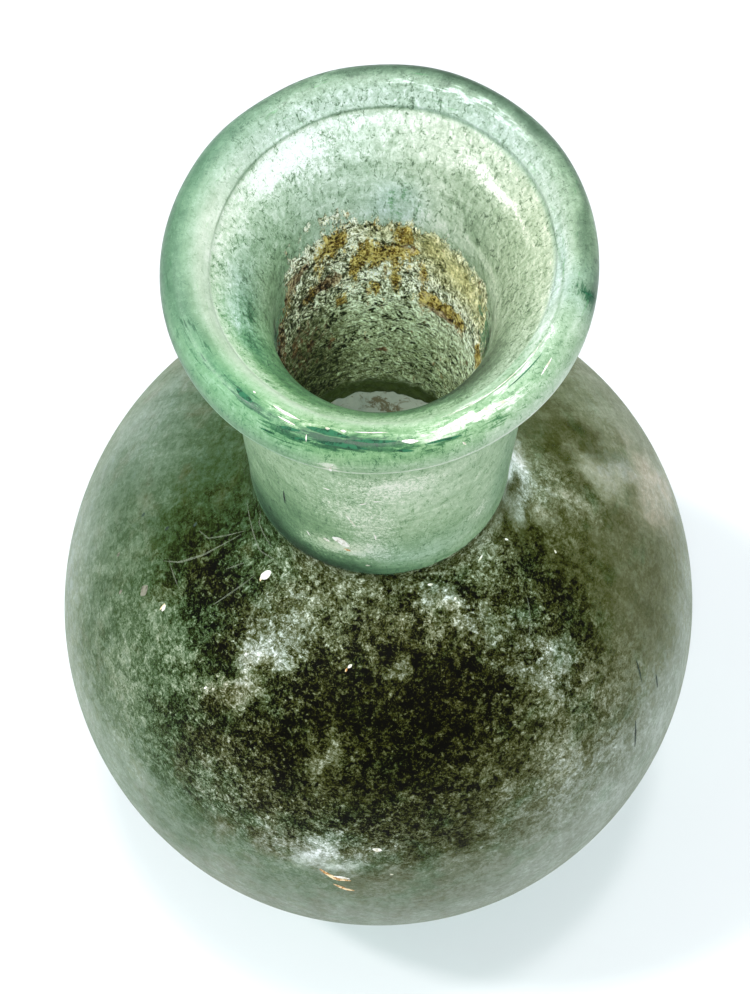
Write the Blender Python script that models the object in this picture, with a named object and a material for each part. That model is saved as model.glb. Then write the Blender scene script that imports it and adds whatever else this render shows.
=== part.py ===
"""Glass perfume flask, free-blown in one piece: a hollow globe with a thick neck and a folded collar rim.

Metres, +Z up. The origin is on the table, under the middle of the globe. The viewer's side is -Y.
"""

from math import cos, pi, radians, sin

import bmesh
import bpy
from mathutils import Matrix, Vector

MM = 0.001

# Driving dimensions, in millimetres. Heights are above the table.
GLOBE_RADIUS = 32.0
GLOBE_HALF_HEIGHT = 36.5  # blown a little taller than wide
EQUATOR_HEIGHT = 32.5  # the globe's lower end is pressed flat below this
SHOULDER_SLUMP = 1.8  # the shoulder sank this far under the neck while the glass was soft
GLOBE_WALL = 2.0
CROWN_WALL = 3.3  # the glass is thicker towards the neck
FOOT_RADIUS = 13.5  # the flat ring that the flask rests on
PUSH_UP_RADIUS = 8.5
PUSH_UP_DEPTH = 1.6
FLOOR_WALL = 1.7  # glass over the middle of the push-up

NECK_FOOT_HEIGHT = 66.6
NECK_FOOT_RADIUS = 10.8
NECK_TOP_RADIUS = 11.7
BORE_FOOT_RADIUS = 8.1
BORE_TOP_RADIUS = 8.4

RIM_HEIGHT = 96.8  # of the rim's widest line, before it leans
RIM_RADIUS = 15.6
FOLD_WIDTH = 3.2  # the folded edge, seen from above
FOLD_CREST = 1.8  # above the rim's widest line
FOLD_DROP = 2.6  # below the rim's widest line
CREASE_HEIGHT = 0.5  # where the turned-in edge ends on the funnel
CREASE_STEP = 0.35  # the turned-in edge stands this far above the funnel's glass
THROAT_DEPTH = 6.4  # from the rim's widest line down to the top of the bore
FLARE_DEPTH = 6.0  # from the rim's widest line down to where the neck starts to flare

# The mouth was left a little aslant: its plane rises to the right and to the back.
LEAN_RIGHT = 0.062
LEAN_BACK = 0.121

SEGMENTS = 60

GLASS_COLOUR = (0.36, 0.52, 0.42, 0.55)
GLASS_ROUGHNESS = 0.3


def eased(share):
    """0 to 1 with a level start and end."""
    share = min(max(share, 0.0), 1.0)
    return share * share * (3 - 2 * share)


def ellipse_point(half_width, half_height, degrees):
    """A point of the globe's profile; 0 degrees is the equator, 90 the top."""
    turn = radians(degrees)
    slump = SHOULDER_SLUMP * eased((degrees - 30) / 35)
    return Vector((half_width * cos(turn), EQUATOR_HEIGHT + half_height * sin(turn) - slump))


def ellipse_slope(half_width, half_height, degrees):
    return ellipse_point(half_width, half_height, degrees + 0.5) - ellipse_point(
        half_width, half_height, degrees - 0.5
    )


def crossing(point, direction, other, other_direction):
    """Where two straight lines of the profile meet."""
    across = direction.x * other_direction.y - direction.y * other_direction.x
    gap = other - point
    return point + direction * ((gap.x * other_direction.y - gap.y * other_direction.x) / across)


def stretch(half_width, half_height, first, last, count):
    """Points along a profile ellipse, both ends included."""
    step = (last - first) / (count - 1)
    return [ellipse_point(half_width, half_height, first + step * i) for i in range(count)]


def soft_corner(start, corner, end, count):
    """Points strictly between start and end on the smooth bend that is tangent to both sides at the corner."""
    turns = [(i + 1) / (count + 1) for i in range(count)]
    return [start * (1 - t) ** 2 + corner * (2 * t * (1 - t)) + end * t ** 2 for t in turns]


def fold_point(degrees):
    """A point of the folded edge's round side; 0 degrees is its widest line, 90 its crest."""
    turn = radians(degrees)
    half_width = FOLD_WIDTH / 2
    half_height = FOLD_CREST if degrees > 0 else FOLD_DROP
    across = RIM_RADIUS - half_width + half_width * cos(turn)
    return Vector((across, RIM_HEIGHT + half_height * sin(turn)))


def inside_profile():
    """From the middle of the floor up the inner wall to the crease under the turned-in edge."""
    half_width = GLOBE_RADIUS - GLOBE_WALL
    half_height = GLOBE_HALF_HEIGHT - CROWN_WALL
    floor = PUSH_UP_DEPTH + FLOOR_WALL
    middle = Vector((0.0, floor))
    wall_start = ellipse_point(half_width, half_height, -46)
    floor_corner = crossing(
        middle, Vector((1.0, 0.0)), wall_start, ellipse_slope(half_width, half_height, -46)
    )
    floor_edge = Vector((FOOT_RADIUS * 0.6, floor))
    wall_end = ellipse_point(half_width, half_height, 69)
    bore_foot = Vector((BORE_FOOT_RADIUS, NECK_FOOT_HEIGHT - 1.0))
    bore_corner = crossing(
        bore_foot, Vector((0.0, 1.0)), wall_end, ellipse_slope(half_width, half_height, 69)
    )
    throat = Vector((BORE_TOP_RADIUS, RIM_HEIGHT - THROAT_DEPTH - 1.0))
    funnel_corner = Vector((BORE_TOP_RADIUS + 0.3, RIM_HEIGHT - THROAT_DEPTH + 2.4))
    crease = Vector((RIM_RADIUS - FOLD_WIDTH, RIM_HEIGHT + CREASE_HEIGHT - CREASE_STEP))
    return (
        [middle, floor_edge]
        + soft_corner(floor_edge, floor_corner, wall_start, 3)
        + stretch(half_width, half_height, -46, 69, 14)
        + soft_corner(wall_end, bore_corner, bore_foot, 2)
        + [bore_foot, throat]
        + soft_corner(throat, funnel_corner, crease, 5)
        + [crease]
    )


def rim_profile():
    """Over the folded edge, from its turned-in lip down to its underside."""
    lip = Vector((RIM_RADIUS - FOLD_WIDTH, RIM_HEIGHT + CREASE_HEIGHT))
    crest = fold_point(90)
    shelf = Vector(((lip.x + crest.x) / 2, crest.y))
    return (
        [lip]
        + soft_corner(lip, shelf, crest, 1)
        + [fold_point(degrees) for degrees in range(90, -61, -25)]
    )


def outside_profile():
    """From the neck under the rim down over the globe to the middle of the push-up."""
    under_fold = fold_point(-75)
    neck_top = Vector((NECK_TOP_RADIUS, RIM_HEIGHT - FLARE_DEPTH))
    flare_corner = Vector((NECK_TOP_RADIUS + 0.4, RIM_HEIGHT - FOLD_DROP - 0.8))
    neck_foot = Vector((NECK_FOOT_RADIUS, NECK_FOOT_HEIGHT))
    neck_line = neck_top - neck_foot
    shoulder = ellipse_point(GLOBE_RADIUS, GLOBE_HALF_HEIGHT, 63)
    shoulder_slope = ellipse_slope(GLOBE_RADIUS, GLOBE_HALF_HEIGHT, 63)
    shoulder_corner = crossing(neck_foot, neck_line, shoulder, shoulder_slope)
    heel = ellipse_point(GLOBE_RADIUS, GLOBE_HALF_HEIGHT, -56)
    heel_slope = ellipse_slope(GLOBE_RADIUS, GLOBE_HALF_HEIGHT, -56)
    foot_edge = Vector((FOOT_RADIUS, 0.0))
    heel_corner = crossing(foot_edge, Vector((1.0, 0.0)), heel, heel_slope)
    push_up_edge = Vector((PUSH_UP_RADIUS, 0.0))
    push_up_bend = Vector((PUSH_UP_RADIUS * 0.55, PUSH_UP_DEPTH))
    push_up_top = Vector((0.0, PUSH_UP_DEPTH))
    return (
        [under_fold]
        + soft_corner(under_fold, flare_corner, neck_top, 2)
        + [neck_top, neck_foot]
        + soft_corner(neck_foot, shoulder_corner, shoulder, 3)
        + stretch(GLOBE_RADIUS, GLOBE_HALF_HEIGHT, 63, 0, 10)
        + stretch(GLOBE_RADIUS, GLOBE_HALF_HEIGHT, 0, -56, 9)[1:]
        + soft_corner(heel, heel_corner, foot_edge, 2)
        + [foot_edge, push_up_edge]
        + soft_corner(push_up_edge, push_up_bend, push_up_top, 2)
        + [push_up_top]
    )


def spun(profile):
    """The profile turned once about Z, with its two ends closed on the axis."""
    mesh = bmesh.new()
    points = [mesh.verts.new((point.x * MM, 0.0, point.y * MM)) for point in profile]
    edges = [mesh.edges.new(pair) for pair in zip(points, points[1:])]
    bmesh.ops.spin(
        mesh,
        geom=points + edges,
        cent=(0.0, 0.0, 0.0),
        axis=(0.0, 0.0, 1.0),
        angle=2 * pi,
        steps=SEGMENTS,
        use_merge=True,
    )
    bmesh.ops.remove_doubles(mesh, verts=mesh.verts, dist=0.01 * MM)
    bmesh.ops.recalc_face_normals(mesh, faces=mesh.faces)
    return mesh


def lean_mouth(mesh):
    """Tips the mouth's plane; the lean grows from nothing at the neck's foot to all of it at the rim."""
    for vert in mesh.verts:
        height = vert.co.z / MM
        share = eased((height - NECK_FOOT_HEIGHT) / (RIM_HEIGHT - NECK_FOOT_HEIGHT))
        vert.co.z += share * (LEAN_RIGHT * vert.co.x + LEAN_BACK * vert.co.y)


def glass_material():
    material = bpy.data.materials.new("glass")
    material.use_nodes = True
    shader = material.node_tree.nodes["Principled BSDF"]
    shader.inputs["Base Color"].default_value = GLASS_COLOUR[:3] + (1.0,)
    shader.inputs["Alpha"].default_value = GLASS_COLOUR[3]
    shader.inputs["Roughness"].default_value = GLASS_ROUGHNESS
    shader.inputs["Metallic"].default_value = 0.0
    material.diffuse_color = GLASS_COLOUR
    return material


def build_flask():
    mesh = spun(inside_profile() + rim_profile() + outside_profile())
    lean_mouth(mesh)
    data = bpy.data.meshes.new("flask")
    mesh.to_mesh(data)
    mesh.free()
    data.shade_smooth()
    data.set_sharp_from_angle(angle=radians(40))
    data.materials.append(glass_material())
    flask = bpy.data.objects.new("flask", data)
    flask.matrix_world = Matrix.Identity(4)
    bpy.context.collection.objects.link(flask)


for item in list(bpy.data.objects):
    bpy.data.objects.remove(item, do_unlink=True)
build_flask()
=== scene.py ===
"""The looks of an ancient glass perfume flask: weathered glass, dirt film, crust and the studio around it."""

from math import cos, pi, radians, sin, sqrt

import bpy
import numpy as np
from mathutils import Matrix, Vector, noise


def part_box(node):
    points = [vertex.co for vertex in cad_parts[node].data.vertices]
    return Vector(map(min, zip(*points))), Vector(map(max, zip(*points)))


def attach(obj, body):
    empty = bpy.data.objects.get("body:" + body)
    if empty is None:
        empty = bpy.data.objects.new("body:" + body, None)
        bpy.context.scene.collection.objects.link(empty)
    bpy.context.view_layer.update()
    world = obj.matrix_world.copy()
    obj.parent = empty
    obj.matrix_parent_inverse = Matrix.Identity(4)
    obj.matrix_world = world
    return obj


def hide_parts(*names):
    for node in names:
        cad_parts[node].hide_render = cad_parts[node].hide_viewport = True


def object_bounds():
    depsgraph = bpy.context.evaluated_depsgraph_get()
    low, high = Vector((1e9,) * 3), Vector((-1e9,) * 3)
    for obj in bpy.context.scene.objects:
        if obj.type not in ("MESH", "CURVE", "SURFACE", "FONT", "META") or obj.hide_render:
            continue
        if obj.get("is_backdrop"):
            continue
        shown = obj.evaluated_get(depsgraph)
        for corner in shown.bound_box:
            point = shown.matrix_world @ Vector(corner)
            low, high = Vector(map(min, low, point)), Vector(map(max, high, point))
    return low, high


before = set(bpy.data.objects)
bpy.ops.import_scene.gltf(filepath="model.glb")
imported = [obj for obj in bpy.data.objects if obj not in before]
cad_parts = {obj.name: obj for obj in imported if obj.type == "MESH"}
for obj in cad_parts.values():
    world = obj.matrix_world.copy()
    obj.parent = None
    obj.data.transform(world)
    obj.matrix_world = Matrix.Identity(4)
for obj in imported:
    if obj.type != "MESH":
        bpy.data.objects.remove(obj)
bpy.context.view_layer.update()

# ---------------------------------------------------------------------------------------------------------
# The glass. One gather of green glass was blown into a globe, its neck drawn out and its edge folded inwards.
# The wall is about 2 mm, thicker at the neck and rim. It is drawn ring by ring from the floor inside, over
# the rim and down the outside, as one closed wall, then smoothed and made as uneven as blown glass is.

node_low, node_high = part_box("flask")
MM = (node_high.x - node_low.x) / 64.0  # the globe is 64 mm wide

GLOBE_RADIUS = 32.0
GLOBE_HALF_HEIGHT = 36.5
EQUATOR_HEIGHT = 32.5
SHOULDER_SLUMP = 1.8
SLUMP_START = 30  # degrees up from the globe's middle
SLUMP_END = 65
GLOBE_WALL = 2.0
CROWN_WALL = 3.3
FOOT_RADIUS = 13.5
PUSH_UP_RADIUS = 8.5
PUSH_UP_DEPTH = 1.6
FLOOR_HEIGHT = 3.3
NECK_FOOT_HEIGHT = 66.6
NECK_FOOT_RADIUS = 10.8
NECK_TOP_RADIUS = 11.7
BORE_FOOT_RADIUS = 8.1
BORE_TOP_RADIUS = 8.4
RIM_HEIGHT = 96.8
RIM_RADIUS = 15.6
FOLD_WIDTH = 3.2
FOLD_CREST = 1.8
FOLD_DROP = 2.6
CREASE_HEIGHT = 0.5
CREASE_STEP = 0.35
THROAT_DEPTH = 6.4
FLARE_DEPTH = 6.0
LEAN_RIGHT = 0.062
LEAN_BACK = 0.121
FUNNEL_ASIDE = 0.35  # the funnel's inside sits this far to the right
MOUTH_ASIDE = 0.10  # and the whole mouth this far to the left


def ramp_up(values, start, end):
    """0 to 1 from start to end, with a level start and end."""
    share = np.clip((values - start) / (end - start), 0, 1)
    return share * share * (3 - 2 * share)


def globe_point(half_width, half_height, degrees):
    """(radius, height) on the globe's profile; 0 degrees is the equator, 90 the top."""
    turn = radians(degrees)
    slump = SHOULDER_SLUMP * ramp_up(degrees, SLUMP_START, SLUMP_END)
    return Vector((half_width * cos(turn), EQUATOR_HEIGHT + half_height * sin(turn) - slump))


def globe_stretch(half_width, half_height, first, last, count):
    step = (last - first) / (count - 1)
    return [globe_point(half_width, half_height, first + step * i) for i in range(count)]


def bend(start, corner, end, count):
    """Points between start and end on the soft bend round a corner."""
    shares = [(i + 1) / (count + 1) for i in range(count)]
    return [start * (1 - t) ** 2 + corner * (2 * t * (1 - t)) + end * t**2 for t in shares]


def line(start, end, count):
    """Points strictly between start and end."""
    return [start.lerp(end, (i + 1) / (count + 1)) for i in range(count)]


def fold_point(degrees):
    turn = radians(degrees)
    half_height = FOLD_CREST if degrees > 0 else FOLD_DROP
    across = RIM_RADIUS - FOLD_WIDTH / 2 + FOLD_WIDTH / 2 * cos(turn)
    return Vector((across, RIM_HEIGHT + half_height * sin(turn)))


INNER_HALF_WIDTH = GLOBE_RADIUS - GLOBE_WALL
INNER_HALF_HEIGHT = GLOBE_HALF_HEIGHT - CROWN_WALL
inner_heel = globe_point(INNER_HALF_WIDTH, INNER_HALF_HEIGHT, -46)
inner_crown = globe_point(INNER_HALF_WIDTH, INNER_HALF_HEIGHT, 69)
floor_edge = Vector((FOOT_RADIUS * 0.6, FLOOR_HEIGHT))
bore_foot = Vector((BORE_FOOT_RADIUS, NECK_FOOT_HEIGHT - 1.0))
throat = Vector((BORE_TOP_RADIUS, RIM_HEIGHT - THROAT_DEPTH - 1.0))
crease = Vector((RIM_RADIUS - FOLD_WIDTH, RIM_HEIGHT + CREASE_HEIGHT - CREASE_STEP))
inside_rings = (
    [Vector((1.5, FLOOR_HEIGHT)), Vector((4.8, FLOOR_HEIGHT)), floor_edge]
    + bend(floor_edge, Vector((16.5, FLOOR_HEIGHT)), inner_heel, 2)
    + globe_stretch(INNER_HALF_WIDTH, INNER_HALF_HEIGHT, -46, 69, 14)
    + bend(inner_crown, Vector((BORE_FOOT_RADIUS, 62.6)), bore_foot, 2)
    + [bore_foot]
    + line(bore_foot, throat, 4)
    + [throat]
    + bend(throat, Vector((BORE_TOP_RADIUS + 0.3, RIM_HEIGHT - THROAT_DEPTH + 2.4)), crease, 5)
)
lip = Vector((crease.x, crease.y + CREASE_STEP))
crest = fold_point(90)
rim_rings = (
    [crease + Vector((0.12, 0.02)), lip + Vector((-0.1, 0.0)), lip + Vector((0.25, 0.22))]
    + bend(lip + Vector((0.25, 0.22)), Vector(((lip.x + crest.x) / 2, crest.y)), crest, 1)
    + [fold_point(degrees) for degrees in range(90, -76, -18)]
)
under_fold = fold_point(-75)
neck_top = Vector((NECK_TOP_RADIUS, RIM_HEIGHT - FLARE_DEPTH))
neck_foot = Vector((NECK_FOOT_RADIUS, NECK_FOOT_HEIGHT))
shoulder = globe_point(GLOBE_RADIUS, GLOBE_HALF_HEIGHT, 63)
heel = globe_point(GLOBE_RADIUS, GLOBE_HALF_HEIGHT, -56)
foot_edge = Vector((FOOT_RADIUS, 0.0))
outside_rings = (
    bend(under_fold, Vector((NECK_TOP_RADIUS + 0.4, RIM_HEIGHT - FOLD_DROP - 0.8)), neck_top, 2)
    + [neck_top]
    + line(neck_top, neck_foot, 5)
    + [neck_foot]
    + bend(neck_foot, Vector((NECK_FOOT_RADIUS + 0.1, 65.0)), shoulder, 2)
    + globe_stretch(GLOBE_RADIUS, GLOBE_HALF_HEIGHT, 63, -56, 17)
    + bend(heel, Vector((15.9, 0.0)), foot_edge, 2)
    + [foot_edge, Vector((FOOT_RADIUS - 0.8, 0.0)), Vector((PUSH_UP_RADIUS, 0.0))]
    + [Vector((PUSH_UP_RADIUS * 0.66, PUSH_UP_DEPTH * 0.7)), Vector((1.5, PUSH_UP_DEPTH))]
)
glass_rings = inside_rings + rim_rings + outside_rings


def draw_up(name, rings, around):
    """A wall drawn ring by ring, each new ring extruded from the last and scaled to its radius."""
    bpy.ops.object.select_all(action="DESELECT")
    bpy.ops.mesh.primitive_circle_add(vertices=around, radius=rings[0].x * MM)
    piece = bpy.context.object
    piece.name = name
    bpy.ops.object.mode_set(mode="EDIT")
    bpy.ops.mesh.select_mode(type="VERT")
    bpy.ops.mesh.select_all(action="SELECT")
    bpy.ops.transform.translate(value=(0, 0, rings[0].y * MM))
    for lower, upper in zip(rings, rings[1:]):
        rise = (0, 0, (upper.y - lower.y) * MM)
        bpy.ops.mesh.extrude_region_move(TRANSFORM_OT_translate={"value": rise})
        share = upper.x / lower.x
        bpy.ops.transform.resize(value=(share, share, 1), center_override=(0, 0, 0))
    bpy.ops.object.mode_set(mode="OBJECT")
    return piece


def close_ends():
    """Each open ring of the active piece is filled and drawn to a point, as a pole."""
    bpy.ops.object.mode_set(mode="EDIT")
    bpy.ops.mesh.select_all(action="SELECT")
    bpy.ops.mesh.region_to_loop()
    bpy.ops.mesh.edge_face_add()
    bpy.ops.mesh.select_all(action="DESELECT")
    bpy.ops.mesh.select_mode(type="FACE")
    bpy.ops.mesh.select_face_by_sides(number=4, type="GREATER")
    bpy.ops.mesh.poke()
    bpy.ops.mesh.select_all(action="SELECT")
    bpy.ops.mesh.normals_make_consistent(inside=False)
    bpy.ops.object.mode_set(mode="OBJECT")


def smoothed(piece, levels):
    bpy.context.view_layer.objects.active = piece
    rounding = piece.modifiers.new("rounding", "SUBSURF")
    rounding.levels = levels
    rounding.render_levels = levels
    bpy.ops.object.modifier_apply(modifier=rounding.name)
    bpy.ops.object.shade_smooth()


def points_of(piece):
    """The piece's points as an array in millimetres."""
    flat = np.empty(len(piece.data.vertices) * 3)
    piece.data.vertices.foreach_get("co", flat)
    return flat.reshape(-1, 3) / MM


def move_points(piece, points):
    piece.data.vertices.foreach_set("co", (points * MM).ravel())
    piece.data.update()


def lean_mouth(points):
    """Tips the mouth's plane to the right and back, as it was left; the lean starts at the neck's foot."""
    share = ramp_up(points[:, 2], NECK_FOOT_HEIGHT, RIM_HEIGHT)
    points[:, 2] += share * (LEAN_RIGHT * points[:, 0] + LEAN_BACK * points[:, 1])


def clouds(points, size, seed=0.0):
    """Soft noise about 0, one value a point, whose lumps are about this size in millimetres."""
    return np.array([noise.noise(Vector(p) / size + Vector((seed, seed * 2, 0))) for p in points])


GLASS_SEGMENTS = 72
EDGE_CLEAREST = 52  # degrees round, where the turned-in edge shows best
glass = draw_up("flask_glass", glass_rings, GLASS_SEGMENTS)
close_ends()
points = points_of(glass)
melted = ramp_up(-np.cos(np.arctan2(points[:, 1], points[:, 0]) - radians(EDGE_CLEAREST)), 0.35, 0.75)
groove = np.isclose(points[:, 2], crease.y + 0.02, atol=0.005)
overhang = np.isclose(points[:, 2], lip.y, atol=0.005) & (np.hypot(points[:, 0], points[:, 1]) < lip.x)
points[:, 2] += 0.12 * melted * groove
points[:, :2] *= 1 + (melted * (0.018 * overhang - 0.003 * groove))[:, None]
lean_mouth(points)
move_points(glass, points)
smoothed(glass, 2)

# blown glass is never true: the globe swells here and there, the mouth is a little off the neck's middle
points = points_of(glass)
radius = np.hypot(points[:, 0], points[:, 1])
on_globe = ramp_up(points[:, 2], 8, 20) * (1 - ramp_up(points[:, 2], 58, 68))
on_mouth = ramp_up(points[:, 2], RIM_HEIGHT - 12, RIM_HEIGHT - 3)
in_throat = ramp_up(points[:, 2], RIM_HEIGHT - 14, RIM_HEIGHT - 8)
in_throat *= 1 - ramp_up(radius, RIM_RADIUS - 3, RIM_RADIUS - 1)
neck_outside = ramp_up(points[:, 2], 62, 68) * (1 - ramp_up(points[:, 2], 74, 90)) * (radius > 9.6)
swell = 0.22 * clouds(points, 26) * on_globe + 0.32 * neck_outside
points[:, :2] *= (1 + swell / np.maximum(radius, 1))[:, None]
points[:, 0] += FUNNEL_ASIDE * in_throat - MOUTH_ASIDE * on_mouth
mouth_front_right = np.exp(-((np.degrees(np.arctan2(points[:, 1], points[:, 0])) + 35) / 25) ** 2)
on_rim_outside = ramp_up(radius, RIM_RADIUS - 2.5, RIM_RADIUS) * ramp_up(points[:, 2], 89, 92)
spread = (0.08 + 0.25 * mouth_front_right) * on_rim_outside
points[:, :2] *= (1 + spread / np.maximum(radius, 1))[:, None]
points[:, 0] += 0.1 * neck_outside
points[:, 2] += 0.25 * clouds(points, 7, 3.0) * on_mouth
move_points(glass, points)


def group(name, inputs, outputs):
    """A new node group with these sockets. Returns (group, its tree's inputs, its output node)."""
    made = bpy.data.node_groups.new(name, "ShaderNodeTree")
    for label, kind in inputs:
        made.interface.new_socket(label, in_out="INPUT", socket_type="NodeSocket" + kind)
    for label, kind in outputs:
        made.interface.new_socket(label, in_out="OUTPUT", socket_type="NodeSocket" + kind)
    return made, made.nodes.new("NodeGroupInput").outputs, made.nodes.new("NodeGroupOutput").inputs


def fill(tree, socket, value):
    if isinstance(value, bpy.types.NodeSocket):
        tree.links.new(value, socket)
    elif isinstance(value, tuple) and socket.type == "RGBA":
        socket.default_value = (*value, 1.0)
    else:
        socket.default_value = value


def fill_all(tree, holder, **inputs):
    """Gives each named input of a node a socket or a plain value."""
    for name, value in inputs.items():
        fill(tree, holder.inputs[name.replace("_", " ")], value)


def node(tree, kind, **inputs):
    """Adds a node; returns its first output."""
    made = tree.nodes.new("ShaderNode" + kind)
    fill_all(tree, made, **inputs)
    return made.outputs[0]


def mist(tree, place, scale, detail, roughness=0.5, distortion=0.0):
    """Cloudy noise from 0 to 1."""
    made = node(tree, "TexNoise", Vector=place, Scale=scale, Detail=detail)
    fill_all(tree, made.node, Roughness=roughness, Distortion=distortion)
    return made


def reckon(tree, operation, *values):
    made = tree.nodes.new("ShaderNodeMath")
    made.operation = operation
    for socket, value in zip(made.inputs, values):
        fill(tree, socket, value)
    return made.outputs[0]


def reckon_vector(tree, operation, *values, output=0):
    made = tree.nodes.new("ShaderNodeVectorMath")
    made.operation = operation
    for socket, value in zip([s for s in made.inputs if s.enabled], values):
        fill(tree, socket, value)
    return made.outputs[output]


def between(tree, value, low, high, to_low=0.0, to_high=1.0):
    """Spreads the values from low to high over to_low to to_high, softly and clamped."""
    made = tree.nodes.new("ShaderNodeMapRange")
    made.interpolation_type = "SMOOTHSTEP"
    for socket, number in zip(made.inputs, (value, low, high, to_low, to_high)):
        fill(tree, socket, number)
    return made.outputs[0]


def layer(tree, share, below, above):
    """One colour over another, by a share from 0 to 1."""
    made = tree.nodes.new("ShaderNodeMix")
    made.data_type = "RGBA"
    fill(tree, made.inputs[0], share)
    fill(tree, made.inputs[6], below)
    fill(tree, made.inputs[7], above)
    return made.outputs[2]


def new_material(name):
    """(material, tree, shader, object coordinates in millimetres)"""
    material = bpy.data.materials.new(name)
    material.use_nodes = True
    tree = material.node_tree
    coords = tree.nodes.new("ShaderNodeTexCoord").outputs["Object"]
    mapping = tree.nodes.new("ShaderNodeMapping")
    tree.links.new(coords, mapping.inputs["Vector"])
    mapping.inputs["Scale"].default_value = (1 / MM, 1 / MM, 1 / MM)
    return material, tree, tree.nodes["Principled BSDF"], mapping.outputs[0]


def use(tree, made, **inputs):
    """Places a node group; returns its outputs by name."""
    holder = tree.nodes.new("ShaderNodeGroup")
    holder.node_tree = made
    fill_all(tree, holder, **inputs)
    return holder.outputs


# streaks that follow the turning of the piece, as blowing and drawing leave them
turned, given, gives = group(
    "turned streaks", [("Vector", "Vector"), ("Along", "Float"), ("Across", "Float")], [("Streaks", "Float")]
)
parts = node(turned, "SeparateXYZ", Vector=given["Vector"]).node.outputs
flat = node(turned, "CombineXYZ", X=parts["X"], Y=parts["Y"])
reach = reckon(turned, "DIVIDE", reckon_vector(turned, "LENGTH", flat, output="Value"), given["Across"])
slow = node(
    turned, "CombineXYZ", X=reckon(turned, "DIVIDE", parts["X"], given["Along"]),
    Y=reckon(turned, "DIVIDE", parts["Y"], given["Along"]),
    Z=reckon(turned, "DIVIDE", parts["Z"], given["Across"]),
)
streaks = mist(turned, slow, 1.0, 4.0, 0.65)
streaks.node.noise_dimensions = "4D"
fill(turned, streaks.node.inputs["W"], reach)
turned.links.new(streaks, gives["Streaks"])

# runs down the sides, where damp trickled: streaks that spread out from the neck
runs, given, gives = group(
    "runs", [("Vector", "Vector"), ("Width", "Float"), ("Length", "Float")], [("Runs", "Float")],
)
parts = node(runs, "SeparateXYZ", Vector=given["Vector"]).node.outputs
flat = reckon_vector(runs, "NORMALIZE", node(runs, "CombineXYZ", X=parts["X"], Y=parts["Y"]))
turns = reckon(runs, "DIVIDE", 22.0, given["Width"])
flat = reckon_vector(runs, "MULTIPLY", flat, node(runs, "CombineXYZ", X=turns, Y=turns))
down = node(runs, "CombineXYZ", Z=reckon(runs, "DIVIDE", parts["Z"], given["Length"]))
trickle = mist(runs, reckon_vector(runs, "ADD", flat, down), 1.0, 4.0, 0.65, 0.3)
runs.links.new(trickle, gives["Runs"])

# the grain that burial leaves: dust and crumbs, flakes with crisp edges, bright threads, specks and pits
burial, given, gives = group(
    "burial grain", [("Vector", "Vector"), ("Size", "Float")],
    [(label, "Float") for label in ("Grain", "Flakes", "Threads", "Specks", "Pits", "Edges")],
)
size = node(burial, "CombineXYZ", X=given["Size"], Y=given["Size"], Z=given["Size"])
scaled = reckon_vector(burial, "DIVIDE", given["Vector"], size)
grain = mist(burial, scaled, 1.0, 4.0, 0.95, 0.25)
burial.links.new(grain, gives["Grain"])
coarse = mist(burial, scaled, 1.7, 4.0, 0.7, 0.4)
small = mist(burial, scaled, 4.5, 3.0, 0.6, 0.4)
coarse = between(burial, coarse, 0.46, 0.56, 0.0, 0.5)
burial.links.new(reckon(burial, "ADD", coarse, between(burial, small, 0.46, 0.56, 0.0, 0.5)), gives["Flakes"])
lines = mist(burial, scaled, 1.6, 4.0, 0.6, 0.5)
lines = reckon(burial, "ABSOLUTE", reckon(burial, "SUBTRACT", lines, 0.5))
thinned = mist(burial, scaled, 2.4, 3.0, 0.8)
lines = reckon(burial, "MULTIPLY", between(burial, lines, 0.035, 0.0), between(burial, thinned, 0.45, 0.6))
burial.links.new(lines, gives["Threads"])
clumped = mist(burial, scaled, 0.5, 3.0, 0.8)
dust = mist(burial, scaled, 4.0, 2.0, 0.7)
burial.links.new(between(burial, reckon(burial, "ADD", dust, clumped), 1.14, 1.22), gives["Specks"])
holes = reckon(burial, "ADD", mist(burial, scaled, 3.0, 2.0), clumped)
burial.links.new(between(burial, holes, 0.86, 0.78), gives["Pits"])
curled = []
for place in (scaled, reckon_vector(burial, "ADD", scaled, (0.10, -0.10, 0.12))):
    scale = mist(burial, place, 2.0, 3.0, 0.65, 0.5)
    curled.append(between(burial, scale, 0.46, 0.54))
burial.links.new(reckon(burial, "SUBTRACT", *curled), gives["Edges"])

# a soft patch given the ragged edge of flaked dirt
ragged, given, gives = group(
    "ragged edge", [("Patch", "Float"), ("Grain", "Float"), ("Raggedness", "Float"), ("Softness", "Float")],
    [("Mask", "Float")],
)
rough = reckon(ragged, "MULTIPLY", reckon(ragged, "SUBTRACT", given["Grain"], 0.5), given["Raggedness"])
edge = reckon(ragged, "ADD", given["Patch"], rough)
low = reckon(ragged, "SUBTRACT", 0.5, given["Softness"])
high = reckon(ragged, "ADD", 0.5, given["Softness"])
ragged.links.new(between(ragged, edge, low, high), gives["Mask"])


glass_finish, tree, shader, coords = new_material("weathered glass")
cloudy = mist(tree, coords, 0.06, 3.0)
tint = layer(tree, between(tree, cloudy, 0.3, 0.7), (0.80, 0.95, 0.84), (0.66, 0.90, 0.76))
wear = use(tree, burial, Vector=coords, Size=0.8)
turning = use(tree, turned, Vector=coords, Along=12.0, Across=0.35)
relief = reckon(tree, "ADD", wear["Grain"], turning["Streaks"])
relief = node(tree, "Bump", Strength=0.3, Distance=0.05 * MM, Height=relief)
matt = between(tree, wear["Grain"], 0.35, 0.7, 0.22, 0.42)
fill_all(tree, shader, Base_Color=tint, Roughness=matt, Normal=relief)
shader.inputs["Transmission Weight"].default_value = 1.0
shader.inputs["IOR"].default_value = 1.5
shader.inputs["Specular IOR Level"].default_value = 0.4
output = tree.nodes["Material Output"]
absorbed = tree.nodes.new("ShaderNodeVolumeAbsorption")
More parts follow.
